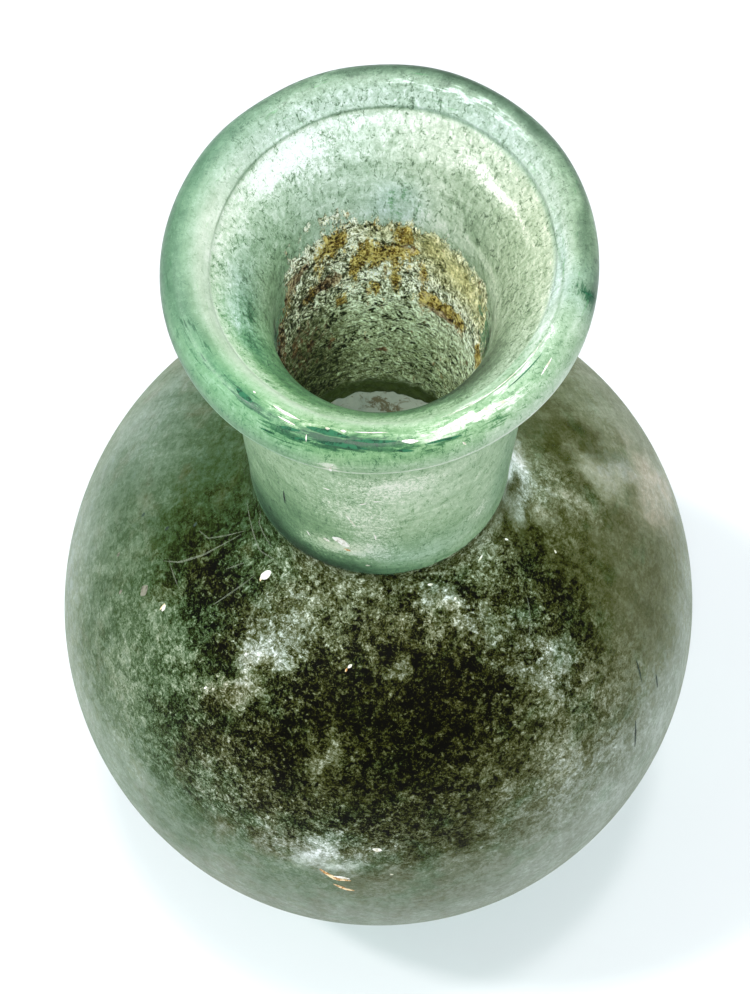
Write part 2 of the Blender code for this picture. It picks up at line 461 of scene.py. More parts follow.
absorbed.inputs["Color"].default_value = (0.32, 0.80, 0.50, 1.0)
absorbed.inputs["Density"].default_value = 70.0
tree.links.new(absorbed.outputs[0], output.inputs["Volume"])


def let_light_through(tree, shader, of_lamps, of_sky):
    """Light on its way from a lamp or the sky passes the layer, with these shares of red, green and blue."""
    rays = tree.nodes.new("ShaderNodeLightPath").outputs
    clear = node(tree, "BsdfTransparent", Color=layer(tree, rays["Is Diffuse Ray"], of_lamps, of_sky))
    passing = tree.nodes.new("ShaderNodeMixShader")
    tree.links.new(reckon(tree, "MAXIMUM", rays["Is Shadow Ray"], rays["Is Diffuse Ray"]), passing.inputs[0])
    tree.links.new(shader.outputs[0], passing.inputs[1])
    tree.links.new(clear, passing.inputs[2])
    tree.links.new(passing.outputs[0], tree.nodes["Material Output"].inputs["Surface"])


let_light_through(tree, shader, (0.97, 0.98, 0.97), (0.97, 0.98, 0.98))
glass.data.materials.append(glass_finish)

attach(glass, "root")
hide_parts("flask")

# ---------------------------------------------------------------------------------------------------------
# The dirt film. Soil water left a dark brown skin on the inside of the globe and a pale silt on its floor,
# higher at the back, where the flask lay. It is a thin sheet against the wall, taken off the glass's inside.

FILM_GAP = 0.06


def place_of(points):
    """Where each point is on the globe: degrees round from the right side, degrees up from the equator."""
    across = np.hypot(points[:, 0], points[:, 1])
    around = np.degrees(np.arctan2(points[:, 1], points[:, 0]))
    return around, np.degrees(np.arctan2(points[:, 2] - EQUATOR_HEIGHT, across)), across


PATCH_FADE = 0.7  # how fast a patch fades past its half width


def soft_sum(around, across, along, places, step=1.0):
    """The patches' sum at each point; the step is the millimetres in one unit of place along."""
    total = np.zeros(len(around))
    for place_round, place_along, half_width, half_length, strength in places:
        sideways = np.radians((around - place_round + 180) % 360 - 180) * across / half_width
        lengthways = (along - place_along) * step / half_length
        total += strength * np.exp(-(sideways**2 + lengthways**2) * PATCH_FADE)
    return total


def patches(points, places):
    """Soft patches: degrees round, degrees up, half their width and height in mm, strength."""
    wandering = [1.4 * clouds(points, 4, seed) + 0.7 * clouds(points, 1.6, seed + 9) for seed in (4, 5, 6)]
    around, up, across = place_of(points + 2 * np.stack(wandering, axis=1))
    return soft_sum(around, across, up, places, radians(GLOBE_RADIUS))


def keep_on(piece, name, values):
    """Keeps a soft value on the piece's points, for its material to read."""
    held = piece.data.attributes.new(name, "FLOAT", "POINT")
    held.data.foreach_set("value", np.clip(values, 0, 1).astype(np.float32))


def kept(tree, name):
    made = tree.nodes.new("ShaderNodeAttribute")
    made.attribute_name = name
    return made.outputs["Fac"]


def take_off(source, name, wanted, gap):
    """A thin sheet this far off part of another piece: a copy of it with the other faces deleted."""
    bpy.ops.object.select_all(action="DESELECT")
    sheet = source.copy()
    sheet.data = source.data.copy()
    sheet.name = name
    for label in list(sheet.keys()):
        del sheet[label]
    sheet.data.materials.clear()
    bpy.context.collection.objects.link(sheet)
    bpy.context.view_layer.objects.active = sheet
    sheet.select_set(True)
    middles = np.empty(len(sheet.data.polygons) * 3)
    normals = middles.copy()
    sheet.data.polygons.foreach_get("center", middles)
    sheet.data.polygons.foreach_get("normal", normals)
    middles = middles.reshape(-1, 3) / MM
    keep = wanted(middles, normals.reshape(-1, 3))
    lifting = sheet.modifiers.new("lifting", "DISPLACE")
    lifting.mid_level = 0.0
    lifting.strength = gap * MM
    bpy.ops.object.modifier_apply(modifier=lifting.name)
    bpy.ops.object.mode_set(mode="EDIT")
    bpy.ops.mesh.select_mode(type="FACE")
    bpy.ops.mesh.select_all(action="DESELECT")
    bpy.ops.object.mode_set(mode="OBJECT")
    sheet.data.polygons.foreach_set("select", ~keep)
    bpy.ops.object.mode_set(mode="EDIT")
    bpy.ops.mesh.delete(type="FACE")
    bpy.ops.object.mode_set(mode="OBJECT")
    sheet.data.shade_smooth()
    return sheet


def looks_out(middles, normals):
    """True where a face looks away from the middle of the globe."""
    outwards = middles - np.array([0.0, 0.0, EQUATOR_HEIGHT])
    return (outwards * normals).sum(axis=1) > 0


def globe_inside(middles, normals):
    return ~looks_out(middles, normals) & (middles[:, 2] < NECK_FOOT_HEIGHT - 2.2) & (middles[:, 2] > 2.6)


film = take_off(glass, "dirt_film", globe_inside, FILM_GAP)
points = points_of(film)
keep_on(film, "silt", patches(points, ((85, -19, 14, 9, 1.6), (70, -45, 20, 14, 1.2))))
film_finish, tree, shader, coords = new_material("dirt film")
mottle = mist(tree, coords, 0.2, 8.0, 0.68, 0.4)
wear = use(tree, burial, Vector=coords, Size=0.7)
dark = layer(tree, between(tree, wear["Grain"], 0.35, 0.65), (0.012, 0.011, 0.005), (0.05, 0.05, 0.028))
olive = layer(tree, between(tree, wear["Grain"], 0.35, 0.62), (0.06, 0.08, 0.05), (0.14, 0.18, 0.12))
colour = layer(tree, between(tree, mottle, 0.44, 0.58), dark, olive)
smudges = mist(tree, coords, 0.4, 4.0, 0.75, 0.5)
silt = layer(tree, between(tree, smudges, 0.40, 0.50), (0.20, 0.15, 0.08), (0.50, 0.48, 0.38))
silty = use(tree, ragged, Patch=kept(tree, "silt"), Grain=wear["Grain"], Raggedness=0.25, Softness=0.08)
colour = layer(tree, silty["Mask"], colour, silt)
cover = between(tree, mottle, 0.68, 0.46, 0.75, 1.0)
relief = node(tree, "Bump", Strength=0.5, Distance=0.1 * MM, Height=wear["Grain"])
fill_all(tree, shader, Base_Color=colour, Roughness=0.75, Normal=relief, Alpha=cover)
fill_all(tree, shader, Specular_IOR_Level=0.2)
let_light_through(tree, shader, (0.36, 0.38, 0.38), (0.93, 0.95, 0.96))
film.data.materials.append(film_finish)
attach(film, "root")

# ---------------------------------------------------------------------------------------------------------
# The crust in the neck. A hard grey-white mineral crust coats the bore, brown and ochre where iron stained it
# near the top. It is a thin rough shell a little inside the bore, with real lumps and pits.

CRUST_TOP = RIM_HEIGHT - THROAT_DEPTH + 1.4
CRUST_FOOT = NECK_FOOT_HEIGHT - 2.6
CRUST_ROWS = 30
CRUST_SEGMENTS = 80
crust_foot = Vector((BORE_FOOT_RADIUS - 0.1, CRUST_FOOT))
crust_top = Vector((BORE_FOOT_RADIUS + 0.2, CRUST_TOP))
crust_rings = [crust_foot.lerp(crust_top, row / CRUST_ROWS) for row in range(CRUST_ROWS + 1)]
crust = draw_up("neck_crust", crust_rings, CRUST_SEGMENTS)
points = points_of(crust)
lean_mouth(points)
move_points(crust, points)
smoothed(crust, 2)
points = points_of(crust)
lumps = clouds(points, 1.6) * 0.2 + clouds(points, 0.65, 5.0) * 0.3
inwards = -points[:, :2] / np.hypot(points[:, 0], points[:, 1])[:, None]
flare = 0.25 * ramp_up(points[:, 2], 89.6, 91.8)
points[:, :2] += inwards * (0.14 + 0.8 * lumps - flare)[:, None]
points[:, 0] += FUNNEL_ASIDE * ramp_up(points[:, 2], RIM_HEIGHT - 14, RIM_HEIGHT - 8)
points[:, 0] -= MOUTH_ASIDE * ramp_up(points[:, 2], RIM_HEIGHT - 12, RIM_HEIGHT - 3)
move_points(crust, points)
bpy.ops.object.mode_set(mode="EDIT")
bpy.ops.mesh.select_all(action="SELECT")
bpy.ops.mesh.normals_make_consistent(inside=True)
bpy.ops.object.mode_set(mode="OBJECT")


def facing(around, middle, start, end):
    """0 to 1 for places round the vessel, 1 where they face the way of the middle, in degrees."""
    return ramp_up(np.cos(np.radians(around - middle)), start, end)


def bore_patches(points, places):
    """Soft patches in the bore: degrees round, height, half their width and height in mm, strength."""
    around, _, across = place_of(points)
    return soft_sum(around, across, points[:, 2], places)


points = points_of(crust)
around, _, _ = place_of(points)
# painted shade: the left wall of the bore, turned away from the light from the left, is darker; the crust is
# also darker towards the bottom of the bore
shaded_side = facing(around, 165, 0.35, 0.9)
tone = 0.73 - 0.30 * shaded_side * (1 - ramp_up(points[:, 2], 84, 89))
tone -= 0.30 * (1 - ramp_up(points[:, 2], 68, 82))
for name, values in (
    ("tone", tone),
    ("amber", bore_patches(points, (
        (115, 88.4, 1, 1.5, 1.1), (113, 80, 0.5, 0.9, 0.9), (104, 84, 0.45, 1.5, 0.9),
        (92, 81, 0.45, 1, 1), (80, 81.8, 0.4, 1.6, 1), (83, 86, 1.4, 1.3, 0.95), (75, 88.4, 0.8, 0.9, 0.9),
        (50, 80.6, 2, 0.9, 1.3), (42, 80.9, 0.9, 0.9, 0.8), (98, 84.6, 0.8, 1.2, 0.7),
        (88, 89.6, 1.4, 0.7, 0.6), (126, 86, 0.7, 1.6, 0.6), (62, 84.2, 0.5, 1.2, 0.6),
        (133, 83, 0.8, 0.9, 0.7), (8, 81, 1.2, 2.4, 0.8), (70, 86.6, 0.5, 0.3, 0.9),
        (160, 85, 1.2, 2.5, 0.8), (98, 87, 0.5, 0.8, 0.6),
    ))),
    ("straw", bore_patches(points, (
        (42, 86.6, 2.6, 2.4, 1), (62, 88.4, 1.2, 1.6, 0.7), (12, 86.5, 2, 3, 0.6),
        (88, 88.6, 1.6, 1.2, 0.5),
    ))),
    ("umber", bore_patches(points, (
        (122, 83.2, 0.7, 0.8, 1.1), (151, 87.6, 1.1, 1, 0.9), (140, 87.4, 0.8, 0.7, 0.8),
        (167, 84.5, 1, 3, 0.9), (73, 86.8, 0.5, 0.3, 1), (47, 79.6, 1.4, 0.35, 1.2),
        (144, 77, 2.4, 4, 0.5), (88, 71.2, 0.4, 0.3, 1.2), (176, 80, 1.5, 6, 0.9),
    ))),
    ("shade", 1 - ramp_up(points[:, 2], 65.6, 67.2)),
    ("reach", 1 - ramp_up(points[:, 2], 88.8, 91.4) + bore_patches(points, (
        (115, 91.6, 1.2, 0.8, 0.55), (138, 91.8, 1.8, 0.9, 0.55), (90, 91, 3, 0.6, 0.2),
        (40, 89.4, 3, 1, -0.25), (8, 89, 2.4, 1.8, -0.1), (168, 89, 1.6, 2, -0.6), (-60, 86, 8, 4, -1.2),
        (-120, 86, 8, 4, -1.2), (-12, 87.5, 2, 2, -0.5), (-165, 87, 3, 3, -1),
    ))),
):
    keep_on(crust, name, values)


def steps(tree, value, *colours):
    """A colour ramp: each step is its place from 0 to 1 and a colour."""
    made = tree.nodes.new("ShaderNodeValToRGB")
    ramp = made.color_ramp
    for place, colour in colours[1:-1]:
        ramp.elements.new(place)
    for element, (place, colour) in zip(ramp.elements, colours):
        element.position = place
        element.color = (*colour, 1.0)
    fill(tree, made.inputs[0], value)
    return made.outputs[0]


def added(tree, first, *others):
    """first + each value * its weight"""
    for value, weight in others:
        first = reckon(tree, "MULTIPLY_ADD", value, weight, first)
    return first


def summed(tree, first, *others):
    """first + each (value - 0.5) * its weight"""
    return added(tree, first, *((reckon(tree, "SUBTRACT", value, 0.5), weight) for value, weight in others))


def tinted(tree, share, colour, tint):
    """A colour multiplied by a tint, by a share from 0 to 1."""
    made = tree.nodes.new("ShaderNodeMix")
    made.data_type = "RGBA"
    made.blend_type = "MULTIPLY"
    fill(tree, made.inputs[0], share)
    fill(tree, made.inputs[6], colour)
    fill(tree, made.inputs[7], tint)
    return made.outputs[2]


crust_finish, tree, shader, coords = new_material("neck crust")
crumbs = use(tree, burial, Vector=coords, Size=0.85)
layered = node(tree, "Mapping", Vector=coords, Scale=(1.0, 1.0, 2.6))
layered = use(tree, burial, Vector=layered, Size=1.3)
wrinkles = use(tree, burial, Vector=coords, Size=0.4)
upright = node(tree, "Mapping", Vector=coords, Scale=(1.0, 1.0, 0.45))
upright = use(tree, burial, Vector=upright, Size=0.75)
streaky = node(tree, "Mapping", Vector=coords, Scale=(1.0, 1.0, 0.35))
streaky = use(tree, burial, Vector=streaky, Size=1.6)
height = node(tree, "SeparateXYZ", Vector=coords).node.outputs["Z"]
low_part = between(tree, height, 83.0, 76.0)
lying = {
    name: node(tree, "Mix", Factor=low_part, A=upright[name], B=layered[name]) for name in ("Grain", "Flakes")
}
shade = summed(
    tree, 0.0, (crumbs["Grain"], 1.4), (crumbs["Flakes"], 0.3),
    (lying["Grain"], 1.8), (lying["Flakes"], 0.5), (streaky["Grain"], 1.2),
)
shade = added(tree, shade, (crumbs["Edges"], 0.36), (wrinkles["Edges"], 0.26))
shade = reckon(tree, "MULTIPLY_ADD", shade, between(tree, low_part, 0.0, 1.0, 1.0, 0.42), kept(tree, "tone"))
low_pits = reckon(tree, "MULTIPLY", layered["Pits"], low_part)
shade = added(tree, shade, (crumbs["Pits"], -0.5), (low_pits, -0.55), (layered["Pits"], -0.4))
smooth = summed(tree, kept(tree, "tone"), (crumbs["Grain"], 1.0), (streaky["Grain"], 0.9))
smooth = reckon(tree, "SUBTRACT", smooth, 0.1)
shade = layer(tree, reckon(tree, "MULTIPLY", kept(tree, "straw"), 0.75), shade, smooth)
pale = steps(
    tree, shade, (0.0, (0.006, 0.008, 0.001)), (0.2, (0.048, 0.052, 0.012)), (0.4, (0.165, 0.175, 0.075)),
    (0.6, (0.39, 0.41, 0.25)), (0.8, (0.72, 0.74, 0.54)), (1.0, (0.98, 0.99, 0.86)),
)
ochre = steps(
    tree, shade, (0.0, (0.010, 0.005, 0.001)), (0.25, (0.055, 0.028, 0.002)), (0.5, (0.16, 0.095, 0.008)),
    (0.75, (0.34, 0.24, 0.035)), (1.0, (0.62, 0.52, 0.17)),
)
brown = steps(
    tree, shade, (0.0, (0.004, 0.002, 0.001)), (0.3, (0.045, 0.022, 0.006)), (0.6, (0.16, 0.092, 0.032)),
    (1.0, (0.50, 0.42, 0.24)),
)
colour = tinted(tree, low_part, pale, (0.90, 1.0, 0.93))
colour = tinted(tree, kept(tree, "straw"), colour, (1.0, 0.9, 0.60))
for name, stain in (("amber", ochre), ("umber", brown)):
    share = use(tree, ragged, Patch=kept(tree, name), Grain=streaky["Grain"], Raggedness=3.2, Softness=0.2)
    colour = layer(tree, share["Mask"], colour, stain)
colour = layer(tree, kept(tree, "shade"), colour, (0.03, 0.045, 0.006))
whole = use(tree, ragged, Patch=kept(tree, "reach"), Grain=streaky["Grain"], Raggedness=2.0, Softness=0.12)
relief = node(tree, "Bump", Strength=1.0, Distance=0.5 * MM, Height=crumbs["Grain"])
fill_all(tree, shader, Base_Color=colour, Roughness=0.7, Normal=relief, Alpha=whole["Mask"])
# a faint glow in the crust's own colours: painted light, standing for the light that comes through the glass
# from outside
fill_all(tree, shader, Specular_IOR_Level=0.25, Emission_Color=colour, Emission_Strength=0.16)
let_light_through(tree, shader, (0.94, 0.95, 0.92), (0.94, 0.95, 0.92))
crust.data.materials.append(crust_finish)
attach(crust, "root")

# ---------------------------------------------------------------------------------------------------------
# The weathered skin of the globe. Burial stained the outside of the glass dark brown in front and left it a
# clearer grey-green on the left. Silvery flakes, blue sheen and pale scale lie on it, thinner than paper.


def globe_outside(middles, normals):
    return looks_out(middles, normals) & (middles[:, 2] < NECK_FOOT_HEIGHT + 0.8) & (
        np.hypot(middles[:, 0], middles[:, 1]) > 0.1
    )


GLOBE_SKIN_LIFT = 0.03
globe_skin = take_off(glass, "globe_skin", globe_outside, GLOBE_SKIN_LIFT)
points = points_of(globe_skin)
around, up, _ = place_of(points)
on_left = facing(around, -180, 0.2, 0.85)
in_front = facing(around, -85, -0.2, 0.8)
low_down = 1 - ramp_up(up, 8, 44)
high_up = ramp_up(up, 50, 69)
# painted light: the globe is paler towards its outline as seen from the camera, and on its far side, where
# the glass is lit through from the floor; towards_top_front measures towards the camera
towards_top_front = (0.90 * (points[:, 2] - EQUATOR_HEIGHT) - 0.44 * points[:, 1]) / 35
pale_outline_light = 1 - ramp_up(towards_top_front, 0.34, 0.62)
from_behind = 0.81 * (points[:, 2] - EQUATOR_HEIGHT) - 0.383 * points[:, 1]
wander = clouds(points, 12, 3.0)
lain_on = 0.25 * (1 - ramp_up(from_behind + 1.5 * wander, 3.6, 8.2))
lain_on += 0.75 * (1 - ramp_up(from_behind + 9 * wander, -24, 7))
# the on_left * high_up term is painted shade: darker high on the left, under the neck and rim; the globe is
# also lighter lower down
tone = 0.40 + 0.13 * low_down + 0.14 * pale_outline_light - 0.12 * on_left * high_up - 0.06 * in_front
tone += 0.03 * clouds(points, 9, 8.0) - 0.27 * lain_on
tone += patches(points, (
    (-84, 49, 8.5, 4.6, -0.28), (-104, 53, 3, 2.6, -0.2), (-80, 64, 2.4, 3.6, -0.26),
    (-112, 43, 3, 2.4, -0.22), (-66, 52, 3.4, 2.6, -0.16), (-90, 37, 8, 2.4, -0.1), (-95, 32, 9, 3, -0.14),
    (-72, 27, 5, 3, -0.08), (-38, 60, 2.4, 4, -0.1), (-31, 56, 1.4, 3.5, -0.12), (-22, 54, 1.8, 4, -0.09),
    (-28, 65, 2.4, 2, -0.06), (-34, 50, 2.5, 2.5, -0.12), (-162, 66, 1.3, 1.2, -0.08),
    (-148, 57, 3.8, 3.4, -0.24), (-135, 52, 2.6, 2.8, -0.2), (-146, 64, 2.4, 1.6, -0.07),
    (-161, 56, 2, 2, -0.08), (-122, 35, 2.6, 3, -0.06), (-172, 55, 3, 3, -0.06), (22, 60, 3, 3, -0.09),
    (-2, 53, 0.8, 2.8, -0.16), (17, 47, 1, 0.9, -0.2), (-62, 38, 2, 3, -0.06), (-42, 42, 3, 4, -0.07),
    (75, 45, 9, 7, -0.12), (110, 50, 8, 6, -0.1), (150, 15, 9, 9, -0.1), (-126, 27, 4, 2.4, -0.07),
    (-50, 55, 1.6, 1.6, -0.1), (-80, 25, 2, 2, -0.08), (-117, 65, 1.4, 1.4, -0.08),
    (-110, 50, 1.4, 2, -0.1), (-75, 70.5, 5, 0.9, -0.1), (-55, 66, 1.4, 1.6, -0.14),
    (-24, 65, 2.2, 1.6, -0.12), (-130, 35, 1.8, 1.8, -0.2), (-120, 40, 1.8, 1.8, -0.14),
    (-130, 54, 1.6, 2, -0.14), (-39, 53, 2, 3, -0.12), (-75, 45, 2.4, 2, -0.12),
    (-70, 35, 1.8, 1.8, -0.14), (-101, 31, 2.4, 1.8, -0.16), (-80, 25, 2.4, 2.4, -0.08),
    (-90, 20, 1.4, 1.4, -0.1), (-60, 50, 1.4, 1.6, -0.1), (-140, 59, 1.4, 1.4, -0.1),
    (-100, 66, 1.4, 1.4, -0.12), (-52, 64, 1.6, 2, -0.1), (-8, 55, 2, 3, -0.06), (-150, 20, 5, 3, -0.06),
    (-128, 5, 3, 4, -0.08), (14, 62, 3, 3, -0.1), (-60, 66, 1.2, 1.2, -0.2), (-96, 62, 2.2, 2.2, -0.14),
    (-100, 64, 1.4, 1.4, -0.12), (-61, 50, 1.8, 2.2, -0.14), (-102, 55, 2.4, 2, -0.08),
    (-95, 29, 6, 2.4, -0.08),
))
# paler patches; the broad ones low on the right (-52 and -30 round) and far to the left (-186 and -205 round)
# are painted light at the globe's outline
tone += patches(points, (
    (-122, 56, 3, 3, 0.12), (-124, 48, 2.4, 2, 0.06), (-108, 62, 2, 2.6, 0.1), (-71, 65.5, 1.8, 1.6, 0.26),
    (-50, 49, 1.6, 3, 0.17), (2, 67, 1.4, 1.5, 0.12), (-10, 69, 2, 1.6, 0.32), (-60, 60, 1.4, 1.8, 0.14),
    (-10, 61, 1.4, 1.8, 0.24), (-40, 70.5, 1.6, 0.8, 0.16), (-6, 71, 2, 1.4, 0.3),
    (-90, 65, 1.2, 1.4, 0.14), (-120, 54.5, 1.4, 1.6, 0.1), (-150, 34, 3, 3, 0.1), (-175, 33, 4, 4, 0.08),
    (-100, 40, 1.2, 1.4, 0.12), (-140, 20, 3, 2, 0.1), (-152, 61, 2, 1.6, 0.09), (-99, 20, 1.2, 1.2, 0.16),
    (-50, 54, 1.2, 1.4, 0.1), (4, 43, 2, 4, 0.14), (10, 37, 2.2, 4.5, 0.16), (16, 31, 2, 4.5, 0.1),
    (24, 46, 3.2, 3.6, 0.14), (3, 54, 1.6, 2.6, 0.15), (-52, 17, 9, 6, 0.12), (-30, 22, 7, 5, 0.1),
    (-99, 23.5, 2, 3, 0.32), (-145, 18, 6, 5, 0.06), (-186, 36, 6, 6, 0.06), (-205, 44, 5, 6, 0.08),
    (-84, 57, 0.6, 1.1, 0.3), (-38, 46, 2, 2, 0.06), (-93, 53, 0.5, 0.7, 0.2), (-38, 52, 0.6, 0.8, 0.15),
    (-150, 48, 3, 2, 0.06), (-165, 52, 4, 2, 0.05), (-130, 61, 1.4, 1.4, 0.1), (-100, 44, 1.2, 1.2, 0.2),
    (-121, 38, 1.4, 1.6, 0.16), (-148, 67, 4, 1.6, 0.05), (-90, 66, 1.2, 1.4, 0.1),
    (-110, 33, 1.6, 1.6, 0.08), (-118, 16, 8, 4, 0.04), (-55, 30, 4, 2.5, 0.06), (-103, 27, 4, 1.6, 0.1),
    (28, 62, 2, 2, 0.06), (-130, 36, 4, 3, -0.08), (-125, 41, 3.4, 1.6, -0.09),
    (-110, 40.5, 1.6, 1.2, -0.1), (-98, 54, 2.6, 2, -0.14), (-110, 50.5, 2.4, 1.4, -0.07),
    (-105, 31, 6, 3, -0.08), (-142, 61, 2, 1.6, -0.12), (-84, 45, 3, 2.4, -0.11),
    (-90, 60.5, 2, 1.4, -0.12), (-62, 50.5, 2.4, 1.6, -0.1), (-129, 60.5, 1.6, 1.4, 0.1),
    (-119.5, 54, 2.2, 1.6, 0.24), (-110, 65, 1.8, 1.4, 0.14), (-70, 65.5, 1.6, 1.2, 0.18),
    (-20, 70, 1.6, 1, 0.14), (-8, 70.5, 1.6, 1.2, 0.22), (-185, 48, 8, 6, -0.02), (-80, 52, 6, 4, -0.03),
    (-205, 52, 8, 7, 0.03), (-150, 60.5, 2, 1.6, 0.03), (-119, 61, 1.6, 1.2, -0.09),
    (-130, 45, 2.4, 1.6, 0.08), (-60, 65, 1.4, 1.4, -0.12), (0, 55, 1.4, 1.6, 0.09),
    (10, 55, 1.4, 1.6, -0.09), (20, 57, 1.6, 3, 0.11), (12, 64, 2, 2, 0.08), (-90, 65, 1.6, 1.4, 0.14),
    (-100, 60, 1.6, 1.2, 0.08), (0, 48, 4, 4, 0.035), (8, 60, 4, 3.5, -0.06), (-28, 45, 5, 5, 0.025),
    (-14, 69.5, 2.4, 1.2, 0.16),
))
harsh = 0.14 + 0.82 * in_front * (1 - low_down) * (1 - ramp_up(around, -45, -20)) + patches(points, (
    (-120, 57, 4, 4.5, 0.8), (-108, 65, 3, 2.4, 0.7), (-66, 66, 3.5, 2, 0.7), (-50, 55, 4, 6, 0.2),
    (2, 66, 2.2, 2.5, 0.4), (-11, 69, 1.5, 1.5, 0.9), (-8, 60, 2.2, 2.4, 0.4), (-118, 33, 7, 4, 0.5),
    (-30, 60, 4, 5, 0.4), (-127, 47, 3, 3, 0.6), (-95, 28, 10, 3.5, 0.6), (-145, 57, 4, 3.5, 0.35),
))
green = 0.02 + 0.95 * facing(around, -180, 0.45, 0.9) + patches(points, (
    (-122, 58, 4, 4, 0.1), (-48, 50, 2.4, 4.5, 0.25), (-70, 15, 18, 7, 0.15), (-130, 18, 12, 6, 0.6),
    (-150, 35, 6, 8, 0.35), (-105, 8, 9, 6, 0.5), (-150, 58, 4, 3, -0.45), (-224, 55, 5, 9, -0.3),
))
blue = 0.8 * low_down + patches(points, (
    (-11, 69, 2.4, 1.8, 1.3), (-67, 67.5, 2.2, 1.2, 0.8), (-99, 25.5, 1.4, 2.2, 1.2),
    (-84, 57, 0.7, 1.2, 1), (-93, 53, 0.6, 0.8, 0.8), (-52, 53, 2.2, 3, 0.7), (8, 50, 1.6, 2.6, 0.9),
    (-45, 14, 14, 8, 0.7), (-170, 66, 5, 3, 0.7), (100, 30, 3, 4, 0.5), (-122, 58, 3.4, 3.4, 0.9),
    (-60, 62, 1.8, 2.6, 0.6), (-20, 69, 3, 1.2, 0.6), (-45, 47, 1.6, 2, 0.6),
))
teal = patches(points, ((-205, 52, 9, 8, 0.8), (-180, 34, 8, 8, 0.5)))
warm = patches(points, (
    (3, 42, 1.8, 4.5, 0.8), (12, 36, 1.8, 5, 0.9), (-128, 48, 2.5, 2.5, 0.5), (0, 71, 1, 1, 0.8),
    (-10, 61, 1, 1.4, 0.5), (-84, 62, 3, 3, 0.35), (-170, 15, 8, 8, 0.3), (-70, 52, 3, 4, 0.4),
)) + 0.6 * lain_on
for name, values in (
    ("tone", tone), ("harsh", harsh / 2), ("green", green), ("blue", blue), ("teal", teal),
    ("warm", warm),
):
    keep_on(globe_skin, name, values)


globe_finish, tree, shader, coords = new_material("weathered globe")
broad = mist(tree, coords, 0.3, 4.0, 0.6, 0.3)
blots = mist(tree, coords, 0.34, 5.0, 0.6, 0.7)
dapples = mist(tree, coords, 0.9, 4.0, 0.7, 0.8)
fine = use(tree, burial, Vector=coords, Size=1.6)
crisp = use(tree, burial, Vector=coords, Size=0.8)
strokes = use(tree, turned, Vector=coords, Along=1.6, Across=0.4)["Streaks"]
drips = use(tree, runs, Vector=coords, Width=2.0, Length=14.0)["Runs"]
lively = reckon(tree, "MINIMUM", reckon(tree, "MULTIPLY", kept(tree, "harsh"), 2.0), 1.2)
calm = reckon(tree, "MINIMUM", reckon(tree, "ADD", lively, 0.1), 1.1)
spots = between(tree, dapples, 0.46, 0.54)
shade = summed(tree, 0.0, (between(tree, blots, 0.45, 0.55), 0.08), (spots, 0.16))
shade = reckon(tree, "MULTIPLY", shade, calm)
shade = summed(tree, shade, (fine["Flakes"], 0.05))
crumbly = summed(tree, 0.0, (crisp["Flakes"], 0.17), (crisp["Grain"], 0.11), (strokes, 0.20))
crumbly = added(tree, crumbly, (crisp["Edges"], 0.10))
shade = added(tree, shade, (crumbly, lively))
shade = reckon(tree, "ADD", shade, kept(tree, "tone"))
height = node(tree, "SeparateXYZ", Vector=coords).node.outputs["Z"]
run_down = reckon(tree, "MULTIPLY", reckon(tree, "SUBTRACT", drips, 0.5), between(tree, height, 6.0, 24.0))
shade = added(tree, shade, (run_down, 0.22))
bright = reckon(tree, "MULTIPLY", reckon(tree, "SUBTRACT", lively, 0.5), 0.5)
threads = reckon(tree, "MAXIMUM", fine["Threads"], crisp["Threads"])
shade = added(
    tree, shade, (threads, reckon(tree, "MAXIMUM", bright, 0.0)),
    (fine["Specks"], reckon(tree, "MULTIPLY", lively, 0.12)),
    (crisp["Pits"], reckon(tree, "MULTIPLY", lively, -0.06)),
)
browner = steps(
    tree, shade,
    (0.0, (0.001, 0.001, 0.0001)), (0.08, (0.006, 0.0062, 0.0004)), (0.16, (0.019, 0.0215, 0.001)),
    (0.26, (0.048, 0.055, 0.010)), (0.36, (0.092, 0.100, 0.044)), (0.48, (0.165, 0.185, 0.105)),
    (0.64, (0.315, 0.345, 0.25)), (0.82, (0.58, 0.62, 0.50)), (1.0, (0.89, 0.90, 0.80)),
)
greener = steps(
    tree, shade,
    (0.0, (0.0008, 0.0014, 0.0001)), (0.08, (0.005, 0.0075, 0.0006)), (0.16, (0.0135, 0.023, 0.002)),
    (0.26, (0.032, 0.060, 0.014)), (0.36, (0.066, 0.109, 0.048)), (0.48, (0.138, 0.195, 0.106)),
    (0.64, (0.285, 0.345, 0.232)), (0.82, (0.55, 0.61, 0.46)), (1.0, (0.88, 0.89, 0.77)),
)
green_share = reckon(tree, "MULTIPLY_ADD", reckon(tree, "SUBTRACT", broad, 0.5), 2.6, kept(tree, "green"))
colour = layer(tree, between(tree, green_share, 0.0, 1.0), browner, greener)
veiled = use(tree, ragged, Patch=kept(tree, "blue"), Grain=dapples, Raggedness=2.4, Softness=0.35)
colour = tinted(tree, veiled["Mask"], colour, (0.97, 1.01, 1.14))
colour = tinted(tree, kept(tree, "teal"), colour, (0.98, 1.02, 1.28))
rosy = reckon(tree, "MULTIPLY", kept(tree, "warm"), between(tree, fine["Grain"], 0.3, 0.55, 0.4, 1.0))
colour = tinted(tree, rosy, colour, (1.18, 0.98, 1.0))
matt = between(tree, fine["Grain"], 0.3, 0.7, 0.42, 0.62)
relief = node(tree, "Bump", Strength=0.5, Distance=0.16 * MM, Height=crisp["Grain"])
dusting = between(tree, fine["Grain"], 0.3, 0.6, 0.85, 0.97)
cover = reckon(tree, "MAXIMUM", between(tree, shade, 0.3, 0.15), dusting)
fill_all(tree, shader, Base_Color=colour, Roughness=matt, Normal=relief, Alpha=cover)
fill_all(tree, shader, Specular_IOR_Level=0.05)
fill_all(tree, shader, Sheen_Weight=0.09, Sheen_Roughness=0.12, Sheen_Tint=(0.85, 0.95, 0.6))
let_light_through(tree, shader, (0.32, 0.34, 0.34), (0.92, 0.95, 0.96))
globe_skin.data.materials.append(globe_finish)
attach(globe_skin, "root")
